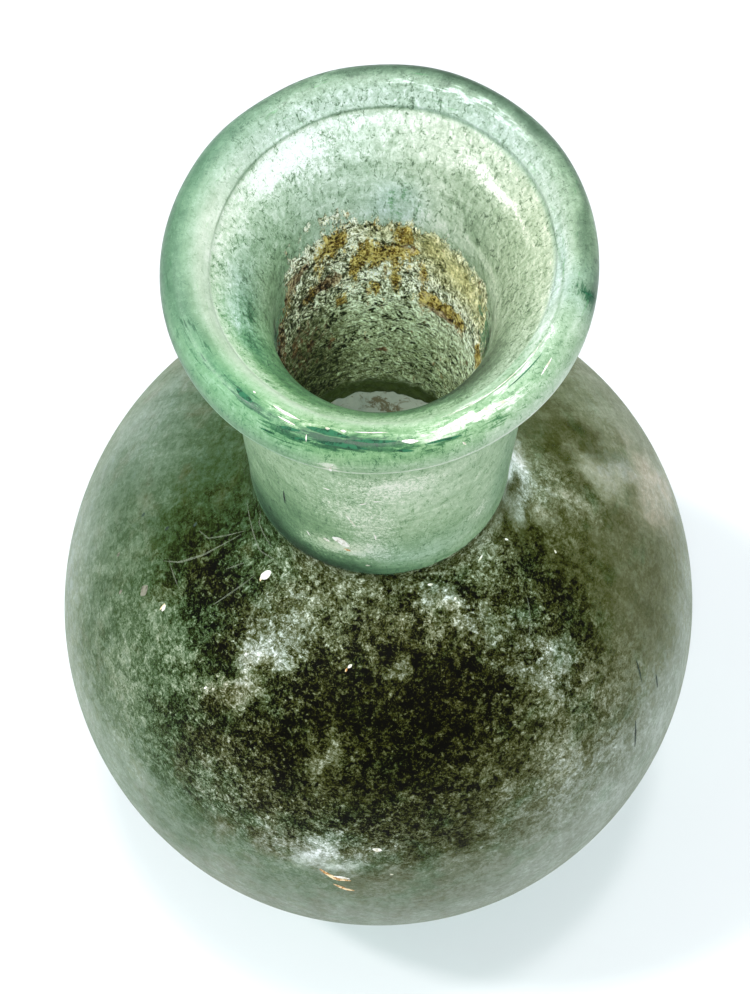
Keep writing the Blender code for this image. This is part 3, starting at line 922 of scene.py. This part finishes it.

# ---------------------------------------------------------------------------------------------------------
# Chips and scratches. White and cream salt flakes cling to the globe and neck, and a few hairlines cross the
# left shoulder; on the rim, cream flakes are mostly painted highlights, and emerald ones paint the dark
# refractions of the thick glass. Each is a thin flake of its own, drawn along a short path on the glass.


def glass_surface(place_round, place_up):
    """A point on the globe or neck, by degrees round and up from the globe's middle, and its normal."""
    turn, rise = radians(place_round), radians(place_up)
    reach = 1 / sqrt((cos(rise) / GLOBE_RADIUS) ** 2 + (sin(rise) / GLOBE_HALF_HEIGHT) ** 2)
    reach -= SHOULDER_SLUMP * ramp_up(place_up, SLUMP_START, SLUMP_END) * sin(rise)
    if place_up > 71:
        reach = (NECK_FOOT_RADIUS + 0.5) / cos(rise)  # on the neck
    near = Vector((cos(turn) * cos(rise), sin(turn) * cos(rise), sin(rise))) * reach
    _, place, normal, _ = glass.closest_point_on_mesh((near + Vector((0, 0, EQUATOR_HEIGHT))) * MM)
    return place / MM, normal


def rim_surface(place_round, past_crest):
    """A point on the folded rim, by degrees round and millimetres past its crest, and its normal."""
    turn = radians(place_round)
    across, height = fold_point(90 - 34 * past_crest)
    near = Vector((across * cos(turn), across * sin(turn), height))
    near.z += LEAN_RIGHT * near.x + LEAN_BACK * near.y
    _, place, normal, _ = glass.closest_point_on_mesh(near * MM)
    return place / MM, normal


def fleck(marks, lift, surface):
    """A thin flake along a path on the glass, widest in the middle, with an uneven edge."""
    *path, half_width = marks
    rounds, ups = path[::2], path[1::2]
    stations = 9 if len(rounds) == 2 else 17
    bpy.ops.mesh.primitive_grid_add(x_subdivisions=stations - 1, y_subdivisions=2, size=MM)
    flake = bpy.context.object
    shares = np.linspace(0, 1, stations)
    knots = np.linspace(0, 1, len(rounds))
    rounds, ups = np.interp(shares, knots, rounds), np.interp(shares, knots, ups)
    spine = [surface(turn, rise) for turn, rise in zip(rounds, ups)]
    placed = points_of(flake)
    along = np.rint((placed[:, 0] + 0.5) * (stations - 1)).astype(int)
    for index, station in enumerate(along):
        middle, normal = spine[station]
        ahead = spine[min(station + 1, stations - 1)][0] - spine[max(station - 1, 0)][0]
        sideways = normal.cross(ahead).normalized()
        swing = 1 + 0.5 * noise.noise(middle * 1.7 + Vector((placed[index, 1] * 5, 0, 0)))
        width = half_width * sin(pi * (0.04 + 0.92 * shares[station])) ** 0.8 * swing
        placed[index] = middle + sideways * (2 * placed[index, 1] * width) + normal * lift
    move_points(flake, placed)
    flake.data.shade_smooth()
    return flake


def flakes(name, lift, on_globe, on_rim=()):
    """One piece of many flakes; each is the places on its path, one after the other, and its half width."""
    pieces = [fleck(marks, lift, glass_surface) for marks in on_globe]
    pieces += [fleck(marks, lift, rim_surface) for marks in on_rim]
    bpy.ops.object.select_all(action="DESELECT")
    for piece in pieces:
        piece.select_set(True)
    bpy.context.view_layer.objects.active = pieces[0]
    bpy.ops.object.join()
    pieces[0].name = name
    return pieces[0]


# millimetres off the glass, so that no two kinds that cross lie in one plane
TOP_LIFT = 0.09
MIDDLE_LIFT = 0.08
LOW_LIFT = 0.07
chips_and_highlights = flakes("salt_chips_and_rim_highlights", TOP_LIFT, (
    (-133.2, 67, -134.6, 65.2, 0.32), (-150.3, 50.6, -149.9, 49.4, 0.17), (-97.4, 59, -98.4, 58.4, 0.13),
    (-91, 26.2, -89.4, 25.8, 0.28), (-32.4, 68.2, -31.8, 67.6, 0.11), (-24, 60.3, -24.5, 59.8, 0.1),
    (-44, 69.4, -47, 69, 0.1), (-70, 69.8, -68, 69.6, 0.12), (-61.5, 66.4, -62.1, 66, 0.09),
    (-130, 46.8, -130.5, 46.2, 0.1), (-88, 19, -87.4, 18.7, 0.09), (-97.6, 17.4, -94.8, 17, 0.2),
    (-109, 74.5, -105.5, 74.4, -102.4, 74, 0.52), (-113, 74.2, -110.6, 74, 0.2),
    (-95.5, 72.6, -93.5, 72.6, 0.1), (-97.5, 76.8, -94.5, 76.9, 0.1), (-92.5, 77, -89.5, 77, 0.08),
    (-91.6, 75.2, -91, 74.8, 0.08), (-103, 76.2, -99, 75.6, 0.07), (-121, 74.1, -119.6, 73.8, 0.07),
    (-111.5, 77.2, -108.5, 77.2, 0.1),
), (
    # on the rim: cream flakes, mostly painted highlights along its crest
    (-122, -0.25, -117.5, -0.15, -113, -0.1, 0.1), (-119, 0.3, -113.5, 0.38, 0.06),
    (-105.4, -0.12, -104, -0.08, 0.08), (-101, -0.1, -99.2, -0.06, 0.09), (-97, -0.12, -87.5, -0.08, 0.04),
    (-84, 0.62, -79.6, 0.78, 0.13), (-74, 0.34, -67.6, 0.4, 0.1), (-66, 0.36, -60, 0.46, -52.5, 0.66, 0.14),
    (-102.3, 2.7, -102.6, 3.6, 0.1), (-72, -0.66, -52, -0.58, -31, -0.5, 0.05),
    (-42, 0.92, -36.5, 0.72, 0.06), (-109.8, 0.7, -109.3, 1.15, 0.04), (-68.4, 1.7, -67.6, 2, 0.07),
    (-129.4, -0.36, -128.4, -0.3, 0.06),
))
stains = flakes("iron_flakes", MIDDLE_LIFT, (
    (-100, 19, -97.4, 16.6, -94.6, 16.4, 0.26), (-97.6, 14.6, -95.6, 13.2, -94, 12.8, 0.22),
    (-150.7, 50.6, -150.5, 49.2, 0.08), (-134.9, 65.6, -134.2, 64.8, 0.08),
    (-104.4, 73.8, -101.6, 73.7, 0.2), (-98.6, 58.4, -98.9, 57.8, 0.08),
))
greyed = flakes("grey_flakes", LOW_LIFT, (
    (-157.4, 49, -156.6, 47, 0.42), (-169, 45, -168.6, 44.2, 0.2), (-161, 43.6, -160.8, 42.6, 0.16),
))
# painted: the dark emerald streaks that refraction shows in the thick glass at the rim's front, drawn as
# flakes
emerald = flakes("emerald_strokes", LOW_LIFT, (), (
    (-133.5, 0.3, -127.4, 0.36, 0.2), (-110.5, 0.22, -104, 0.16, -98, 0.34, 0.2),
    (-117.4, 0.84, -111.6, 0.62, 0.12), (-106.5, 0.95, -100, 0.88, -93, 1, 0.16),
    (-97.5, 0.5, -85.2, 0.56, 0.12), (-122.4, 1.46, -117.8, 1.4, 0.07), (-85.4, 1.16, -81, 1.36, 0.11),
    (-77.8, 1.1, -73, 1.12, -68, 1.26, 0.1), (-51.5, 0.02, -37, 0.04, 0.05), (-113.5, 1.2, -108, 1, 0.08),
    (-15.4, 0.5, -14.6, 1.9, 0.07),
))
dark_strokes = flakes("dark_strokes", LOW_LIFT, (
    (-130.8, 75.9, -131.2, 75.1, 0.1), (-38, 20, -36, 26, 0.12), (-31, 31, -29.5, 36, 0.1),
    (-28, 25, -27, 28, 0.12), (-165, 61, -164.2, 60.2, 0.12), (-175, 51.6, -174.4, 50.8, 0.14),
    (-168, 56, -167.4, 55.2, 0.12),
))
scratches = flakes("scratches", MIDDLE_LIFT, (
    (-160, 53.5, -157, 56, -154.5, 60, -152, 67, 0.09), (-162, 61, -158, 62, -152, 68, 0.07),
    (-160, 54.5, -155, 54.2, -151, 54, 0.06), (-141, 57, -139, 61, -137, 65, 0.07),
    (-163, 70.5, -150, 69, -142, 68, -133, 69, 0.08), (-155, 71.6, -146, 70.4, -138, 70, 0.07),
    (-127, 52, -124, 56, -119, 60, 0.06), (-146, 62, -143, 65, 0.06), (-48, 55, -44, 57.5, -41, 60, 0.05),
))
for piece, low_colour, high_colour, cover in (
    (chips_and_highlights, (0.62, 0.60, 0.46), (0.98, 0.96, 0.90), 1.0),
    (stains, (0.50, 0.22, 0.04), (0.95, 0.78, 0.48), 0.95),
    (greyed, (0.13, 0.13, 0.09), (0.28, 0.27, 0.20), 0.8),
    (dark_strokes, (0.01, 0.02, 0.012), (0.03, 0.06, 0.04), 0.85),
    (emerald, (0.004, 0.07, 0.03), (0.02, 0.16, 0.07), 0.85),
    (scratches, (0.14, 0.17, 0.11), (0.26, 0.30, 0.21), 0.42),
):
    flake_finish, tree, shader, coords = new_material(piece.name.replace("_", " "))
    speckle = mist(tree, coords, 2.2, 3.0, 0.7)
    colour = layer(tree, between(tree, speckle, 0.4, 0.54), low_colour, high_colour)
    relief = node(tree, "Bump", Strength=0.6, Distance=0.05 * MM, Height=speckle)
    fill_all(tree, shader, Base_Color=colour, Roughness=0.8, Normal=relief, Alpha=cover)
    piece.data.materials.append(flake_finish)
    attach(piece, "root")

# ---------------------------------------------------------------------------------------------------------
# The frosted skin of the neck and mouth. The pale glass of the neck, rim and funnel is etched matt and finely
# pitted, wrinkled in the funnel and thinner over the rim, where the green of the thick glass shows.


def mouth_outside(middles, normals):
    across = np.hypot(middles[:, 0], middles[:, 1])
    outside = (middles[:, 2] > NECK_FOOT_HEIGHT - 1.2) & (across > NECK_FOOT_RADIUS - 0.9)
    funnel = (middles[:, 2] > RIM_HEIGHT - THROAT_DEPTH - 4.5) & (across > BORE_TOP_RADIUS - 0.6)
    return outside | funnel


def over_the_rim(points, profile):
    """Millimetres along the profile from the rim's crest: below 0 into the funnel, above 0 down the neck."""
    lean = LEAN_RIGHT * points[:, 0] + LEAN_BACK * points[:, 1]
    height = points[:, 2].copy()
    for _ in range(8):
        height = points[:, 2] - ramp_up(height, NECK_FOOT_HEIGHT, RIM_HEIGHT) * lean
    place = np.stack((np.hypot(points[:, 0], points[:, 1]), height), axis=1)
    nearest = np.full(len(points), 1e9)
    travelled = np.zeros(len(points))
    to_crest = profile[:profile.index(crest) + 1]
    walked = -sum((end - start).length for start, end in zip(to_crest, to_crest[1:]))
    for start, end in zip(profile, profile[1:]):
        step = np.array(end - start)
        length = np.hypot(*step)
        share = np.clip(((place - np.array(start)) @ step) / length**2, 0, 1)
        off = np.hypot(*(np.array(start) + share[:, None] * step - place).T)
        closer = off < nearest
        nearest[closer] = off[closer]
        travelled[closer] = walked + share[closer] * length
        walked += length
    return travelled


def rim_patches(points, travelled, places):
    """Soft patches: degrees round, mm over the rim, half their width and length in mm, strength."""
    wandering = 0.5 * clouds(points, 1.5, 7.0) + 0.6 * clouds(points, 4.0, 8.0)
    around, _, across = place_of(points)
    return soft_sum(around, across, travelled + wandering, places)


NECK_SKIN_LIFT = 0.04
neck_skin = take_off(glass, "neck_skin", mouth_outside, NECK_SKIN_LIFT)
points = points_of(neck_skin)
around, _, _ = place_of(points)
over = over_the_rim(points, inside_rings[-8:] + rim_rings[2:] + outside_rings[:12])
at_left = facing(around, 190, 0.2, 0.9)
at_right = facing(around, -5, 0.3, 0.9)
at_front = facing(around, -90, 0.2, 0.9)
at_back = facing(around, 90, 0.2, 0.9)
in_funnel = 1 - ramp_up(over, -2.8, -2.3)
on_neck = ramp_up(over, 5.5, 8.5)
outer_side = ramp_up(over, -1.5, 0.4) * (1 - on_neck)
beneath = ramp_up(over, 1.2, 3.2) * (1 - on_neck)
tone = 0.82 - 0.03 * at_front
# painted shade in the funnel: darker deeper down and on its left, front and right walls, a little lighter at
# the back
tone += in_funnel * (0.03 * at_back - 0.05 * ramp_up(-over, 5.5, 9.0))
tone -= 0.10 * in_funnel * at_left * ramp_up(-over, 3.5, 6.0)
tone -= in_funnel * ramp_up(-over, 3.2, 5.5) * (0.17 * at_front + 0.05 * at_right)
tone -= 0.03 * ramp_up(over, -2.6, -2.2) * (1 - on_neck) * (1 - at_right) * (1 - at_front)
tone -= in_funnel * (0.03 * at_left + 0.03 * at_right)
tone -= outer_side * (0.19 - 0.04 * at_front) - beneath * (0.02 + 0.08 * at_front - 0.16 * at_left)
tone -= on_neck * (0.22 - 0.12 * at_front - 0.06 * at_back)
# painted dark edge: a dark band along the rim's widest outline, except at the front, standing for the dark
# that refraction gives the thick glass's edge
rim_edge = 2.66 - 1.1 * np.sin(np.radians(around))
tone -= 0.25 * ramp_up(over, rim_edge - 0.6, rim_edge - 0.1) * (1 - on_neck) * (1 - at_front)
# painted highlight: a pale line along the inner ridge of the fold, round the left, front and right front
turned_round = (around - 90) % 360 - 270
ridge_at = np.interp(turned_round, (-215, -190, -160, -140, -120, -100, -80, -60, -40, -20), (
    -2.2, -2.0, -2.1, -2.2, -1.9, -1.6, -0.6, 0.5, -0.5, -2.0,
))
ridge_highlight = np.exp(-(((over - ridge_at) / 0.5) ** 2)) * ramp_up(turned_round, -225, -190)
ridge_highlight *= 1 - ramp_up(turned_round, -30, -5)
tone += 0.07 * ridge_highlight
# among these, the darker patches round the neck's foot (over 32.5 to 34.6) are painted shade where the neck
# meets the globe
tone += rim_patches(points, over, (
    (-235, -4.2, 4, 1.4, 0.05), (35, -4.8, 6, 1, 0.03), (-173, -6.2, 3, 1.6, -0.05),
    (-155, -5.2, 2, 1, -0.06), (82, -9.6, 1, 1.2, -0.08), (-60, -7, 4, 1.4, -0.26),
    (-88, -6, 6, 1.6, -0.05), (-195, -4.2, 4, 1.6, 0.1), (-85, -8.6, 4, 1.2, -0.14),
    (-35, -7.6, 2, 1, -0.08), (-120, -4.2, 4, 1, -0.07), (-62, -3.2, 4, 0.8, -0.08), (40, -6, 6, 1, -0.06),
    (85, -6.5, 5, 1, -0.07), (-235, -2.8, 12, 0.5, 0.12), (5, -10.4, 5, 0.9, 0.1),
    (80, -10.4, 2, 0.8, 0.06), (-40, -10.4, 2, 0.8, 0.1), (-100, 0.4, 3.5, 0.6, -0.12),
    (-125, 0, 4, 0.5, -0.1), (45, 0.9, 6, 0.7, -0.08), (-150, 0.3, 5, 0.5, -0.06), (-250, 0.9, 6, 1, 0.08),
    (-10, -0.3, 4, 0.6, 0.07), (-36, 3.2, 5, 1.6, 0.14), (50, -10.4, 6, 0.8, 0.08), (42, -9, 2, 1, -0.08),
    (-170, -6.2, 6, 1.4, 0.06), (-60, 1.8, 4, 0.8, 0.08), (-205, 0.9, 8, 0.7, -0.09),
    (40, 0.9, 9, 0.6, -0.14), (85, 0.9, 7, 0.6, -0.1), (0, 0.8, 3, 0.6, -0.08), (-40, 0.9, 4, 0.6, 0.08),
    (-140, 1.2, 4, 0.6, 0.06), (-20, 0.8, 2.4, 0.6, 0.12), (-68, 17.5, 5, 3.5, 0.09),
    (-66, 22.5, 4, 3, 0.05), (-104, 34.2, 7, 1.3, -0.16), (-118, 33.2, 6, 1.8, -0.16),
    (-140, 30, 3, 4, -0.08), (168, -1.2, 7, 0.5, 0.06), (-14, 1.4, 1, 1.4, -0.1), (-12, 2, 2, 0.5, -0.12),
    (95, 1.2, 9, 0.4, -0.08), (-178, 1.4, 6, 0.6, -0.06), (-35, -0.6, 4, 0.5, 0.12),
    (-98, 31.5, 4, 1.2, 0.03), (-122, 33.8, 5, 1.3, -0.22), (-150, 32.5, 3, 2.4, -0.14),
    (-95, 34.6, 4, 0.6, -0.12), (-125, 27, 3, 5, -0.08), (-42, 26, 2, 6, 0.06), (-60, 32, 4, 2, 0.06),
    (-108, 17, 5, 2.5, 0.03), (-74, 19, 3, 4, 0.05), (-96, 25, 2, 6, -0.03),
))
# painted highlights and reflections on the rim and in the funnel; the patches on the neck (over 16 to 31) and
# the one at over 3 are pale flecks
glint = rim_patches(points, over, (
    (-115, -0.1, 2.4, 0.35, 0.6), (-62, 0.5, 3, 0.4, 0.8), (-72, 0.4, 1.8, 0.4, 0.7),
    (-50, -0.6, 4.4, 0.2, 0.7), (-94, -0.1, 2.4, 0.25, 0.5), (-106, 29.2, 1.6, 0.8, 0.7),
    (-95, 30, 2.6, 1.2, 0.5), (-88, 16.5, 4, 2, 0.55), (-92, 26, 2, 3, 0.5), (-102, 21.6, 3, 2.4, 0.5),
    (-118, 30.4, 2, 2, 0.5), (-44, 28.6, 1.4, 1.4, 0.5), (-235, -4.2, 3, 1, 0.7),
    (-222, -3.6, 1.4, 0.8, 0.7), (38, -4.8, 3.6, 0.5, 0.9), (62, -0.5, 5, 0.3, 0.7),
    (-103, 3, 0.6, 0.9, 0.8), (-160, -4.6, 1, 0.4, 0.5),
))
# dark glassy marks: on the rim (over 0 to 1.7) they paint the dark refractions in the thick glass, the one at
# the neck's foot (over 34) is painted shade, and the rest, in the funnel, are dark stains
smudge = rim_patches(points, over, (
    (-104, 0.6, 3.4, 0.6, 0.62), (-116, 0.8, 1.6, 0.4, 0.5), (-92, 0.6, 2.2, 0.5, 0.6),
    (-76, 1.2, 2.4, 0.3, 0.55), (-131, 0.3, 1.4, 0.4, 0.6), (-147, 0.6, 1, 0.5, 0.35),
    (-158, 0.9, 1, 0.5, 0.3), (-178, 1.7, 1.6, 0.4, 0.3), (-58, 1.4, 1.4, 0.3, 0.6),
    (-15, 1.2, 0.5, 1.1, 0.6), (84, -9.4, 0.35, 0.9, 0.5), (77, -8.6, 0.3, 0.7, 0.4),
    (80, -10.6, 0.5, 0.5, 0.45), (70, -9.8, 0.3, 0.6, 0.4), (-166, -6.6, 0.3, 0.3, 1.2),
    (-172, -6.6, 1.2, 0.9, 0.5), (-155, -5.2, 1, 0.5, 0.5), (-120, 34.2, 3.6, 0.5, 0.8),
))
on_crest = ramp_up(over, -2.6, -2.2) * (1 - on_neck)
clear = outer_side * (0.20 + 0.65 * at_front + 0.30 * at_left)
clear += on_neck * (0.25 + 0.35 * facing(around, -90, -0.3, 0.5))
clear += 0.7 * at_front * (1 - outer_side) * (1 - on_neck) * (1 - in_funnel)
clear += in_funnel * (0.8 * facing(around, -115, 0.3, 0.9) + 0.25 * at_left)
bluish = 0.8 * at_left * outer_side + 0.5 * at_right * on_crest
bluish += at_back * (0.6 * on_crest + 0.40 * in_funnel)
bluish += rim_patches(points, over, (
    (-172, -6, 4, 1.6, 0.9), (-155, -5.2, 2, 1, 0.8), (-14, 1.4, 1.4, 1.6, 1), (80, -9.6, 1.6, 1.4, 1),
    (-5, -1.6, 3, 0.5, 0.5), (-76, 31, 4, 2.5, 0.6), (-28, 27, 1.5, 5, 0.5),
))
creamy = in_funnel * facing(around, 25, 0.2, 0.9) * ramp_up(-over, 2.0, 2.6)
creamy += 0.35 * on_neck + 0.6 * at_right * on_crest
creamy += rim_patches(points, over, (
    (-106, 29.2, 1.6, 0.8, 1), (-115, -0.2, 3, 0.5, 0.9), (-103, 3, 1, 1.2, 0.8),
))
# painted shade: a dark line along the lip's crease, all round but the front (dark_line)
lip_at = -2.35 + 1.75 * facing(around, -62, 0.25, 0.85)
lip_line = np.exp(-(((over - lip_at) / 0.14) ** 2))
worn = 0.45 + 0.55 * in_funnel + 0.2 * at_front * outer_side + 0.15 * on_neck
worn -= 0.25 * at_left * (1 - in_funnel) * (1 - on_neck)
worn += rim_patches(points, over, (
    (50, -1.4, 16, 1, 0.55), (110, -1.4, 8, 1, 0.5), (-235, -4.2, 5, 1.6, 0.3),
))
# pale_line is a painted highlight: a bright line along the rim's outer edge at the front, where light catches
# the glass's edge
for name, values in (
    ("tone", tone), ("glint", glint), ("smudge", smudge), ("clear", clear), ("bluish", bluish),
    ("creamy", creamy), ("worn", worn / 2), ("dark_line", lip_line * facing(around, 55, -0.55, -0.2)),
    ("pale_line", at_front * np.exp(-(((over - rim_edge + 0.1) / 0.22) ** 2))),
    ("fold", ramp_up(over, -2.6, -1.6) * (1 - ramp_up(over, 5.0, 6.5))),
    ("foot", ramp_up(over, 33.6 - 0.4 * at_back, 35.2)),
):
    keep_on(neck_skin, name, values)

neck_finish, tree, shader, coords = new_material("frosted neck")
pitted = use(tree, burial, Vector=coords, Size=1.1)
wrinkles = use(tree, burial, Vector=coords, Size=0.28)
drawn = node(tree, "Mapping", Vector=coords, Scale=(1.0, 1.0, 0.4))
curls = use(tree, burial, Vector=drawn, Size=1.2)
turning = use(tree, turned, Vector=coords, Along=7.0, Across=0.6)["Streaks"]
strokes = use(tree, turned, Vector=coords, Along=2.0, Across=0.22)["Streaks"]
cloudy = mist(tree, coords, 0.35, 5.0, 0.65, 0.6)
worn = reckon(tree, "MULTIPLY", kept(tree, "worn"), 2.0)
shade = summed(tree, 0.0, (pitted["Grain"], 0.08), (wrinkles["Grain"], 0.07), (turning, 0.1))
shade = added(
    tree, shade, (pitted["Edges"], 0.05), (curls["Edges"], 0.06), (curls["Threads"], -0.32),
    (wrinkles["Threads"], -0.14), (pitted["Pits"], -0.06),
)
shade = reckon(tree, "MULTIPLY_ADD", shade, worn, kept(tree, "tone"))
shade = summed(tree, shade, (cloudy, 0.26), (turning, 0.16), (strokes, 0.10))
shade = added(tree, shade, (wrinkles["Specks"], 0.06))
dabs = node(tree, "Mix", Factor=kept(tree, "fold"), A=wrinkles["Grain"], B=strokes)
highlight_and_fleck_mask = use(tree, ragged, Patch=kept(tree, "glint"), Grain=dabs, Raggedness=3.0, Softness=0.2)
smudge_and_refraction_mask = use(tree, ragged, Patch=kept(tree, "smudge"), Grain=dabs, Raggedness=3.4, Softness=0.22)
shade = added(
    tree, shade, (highlight_and_fleck_mask["Mask"], 0.24), (smudge_and_refraction_mask["Mask"], -0.26),
    (kept(tree, "dark_line"), -0.15), (kept(tree, "pale_line"), 0.25),
)
etched = steps(
    tree, shade, (0.0, (0.004, 0.010, 0.003)), (0.3, (0.048, 0.080, 0.042)), (0.5, (0.13, 0.19, 0.115)),
    (0.62, (0.235, 0.33, 0.205)), (0.74, (0.39, 0.50, 0.35)), (0.86, (0.60, 0.70, 0.55)),
    (1.0, (0.90, 0.93, 0.84)),
)
glassy = steps(
    tree, shade, (0.0, (0.001, 0.014, 0.005)), (0.3, (0.012, 0.085, 0.032)), (0.5, (0.075, 0.23, 0.088)),
    (0.62, (0.19, 0.39, 0.17)), (0.74, (0.36, 0.57, 0.32)), (0.86, (0.60, 0.76, 0.54)),
    (1.0, (0.90, 0.95, 0.82)),
)
glassiness = reckon(tree, "MAXIMUM", kept(tree, "clear"), smudge_and_refraction_mask["Mask"])
colour = layer(tree, glassiness, etched, glassy)
colour = tinted(tree, kept(tree, "bluish"), colour, (0.94, 1.0, 1.2))
colour = tinted(tree, kept(tree, "creamy"), colour, (1.08, 1.0, 0.96))
matt = between(tree, pitted["Grain"], 0.35, 0.65, 0.36, 0.56)
gloss = between(tree, kept(tree, "fold"), 0.0, 1.0, 0.10, 0.18)
relief = reckon(tree, "MULTIPLY", worn, pitted["Grain"])
relief = node(tree, "Bump", Strength=0.8, Distance=0.12 * MM, Height=relief)
cover = between(tree, kept(tree, "fold"), 0.0, 1.0, 0.92, 0.86)
footed = use(tree, ragged, Patch=kept(tree, "foot"), Grain=pitted["Grain"], Raggedness=1.0, Softness=0.3)
cover = reckon(tree, "MULTIPLY", cover, reckon(tree, "SUBTRACT", 1.0, footed["Mask"]))
fill_all(tree, shader, Base_Color=colour, Roughness=matt, Normal=relief, Alpha=cover)
fill_all(tree, shader, Specular_IOR_Level=0.35, Coat_Weight=gloss, Coat_Roughness=0.33)
let_light_through(tree, shader, (0.90, 0.93, 0.89), (0.90, 0.93, 0.89))
neck_skin.data.materials.append(neck_finish)
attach(neck_skin, "root")

# ---------------------------------------------------------------------------------------------------------
# The studio: a plain white floor, four soft lamps and a pale sky all round. The camera stands close and high,
# in front.

bpy.ops.object.select_all(action="DESELECT")
bpy.ops.mesh.primitive_plane_add(size=3.0)
floor = bpy.context.object
floor.name = "studio_floor"
floor_finish, tree, shader, coords = new_material("white floor")
fill_all(tree, shader, Base_Color=(0.72, 0.73, 0.74), Roughness=0.9)
floor.data.materials.append(floor_finish)
floor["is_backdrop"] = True

world = bpy.data.worlds.new("studio")
world.use_nodes = True
tree = world.node_tree
sky = node(tree, "SeparateXYZ", Vector=node(tree, "TexCoord")).node.outputs
overhead = between(tree, sky["Z"], 0.0, 0.75, 0.35, 1.0)
behind = between(tree, sky["Y"], -0.9, 0.2, 0.75, 1.0)
brightness = reckon(tree, "MULTIPLY", overhead, behind)
fill(tree, tree.nodes["Background"].inputs["Color"], (0.90, 0.96, 1.0))
fill(tree, tree.nodes["Background"].inputs["Strength"], reckon(tree, "MULTIPLY", brightness, 0.95))
bpy.context.scene.world = world


def soft_lamp(name, place, aim, size, power):
    """A square soft lamp; place and aim in metres."""
    lamp = bpy.data.lights.new(name, "AREA")
    lamp.size = size
    lamp.energy = power
    holder = bpy.data.objects.new(name, lamp)
    holder.location = place
    holder.rotation_euler = (Vector(aim) - Vector(place)).to_track_quat("-Z", "Y").to_euler()
    bpy.context.collection.objects.link(holder)


soft_lamp("lamp_overhead", (0, 0.06, 1.1), (0, 0, 0.03), 0.10, 2.8)
soft_lamp("lamp_left", (-0.55, 0, 1.0), (0, 0, 0.03), 0.08, 4.5)
soft_lamp("lamp_front", (-0.12, -0.48, 1.1), (0, 0, 0.05), 0.16, 5.0)
soft_lamp("window_right", (0.7, -0.25, 0.6), (0, 0, 0.08), 0.6, 0.8)

CAMERA_FROM_AXIS = 163.1
CAMERA_ELEVATION = radians(64.0)
CAMERA_ASIDE = -0.29
AIM_HEIGHT = EQUATOR_HEIGHT + 25.95
LENS = 65.2
camera_data = bpy.data.cameras.new("camera")
camera = bpy.data.objects.new("camera", camera_data)
bpy.context.collection.objects.link(camera)
bpy.context.scene.camera = camera
back = CAMERA_FROM_AXIS * cos(CAMERA_ELEVATION)
above = CAMERA_FROM_AXIS * sin(CAMERA_ELEVATION)
camera.location = Vector((CAMERA_ASIDE, -back, AIM_HEIGHT + above)) * MM
camera.rotation_euler = (pi / 2 - CAMERA_ELEVATION, 0, 0)
camera_data.lens = LENS
camera_data.clip_start = 0.01

bpy.context.scene.view_settings.view_transform = "Standard"

low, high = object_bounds()
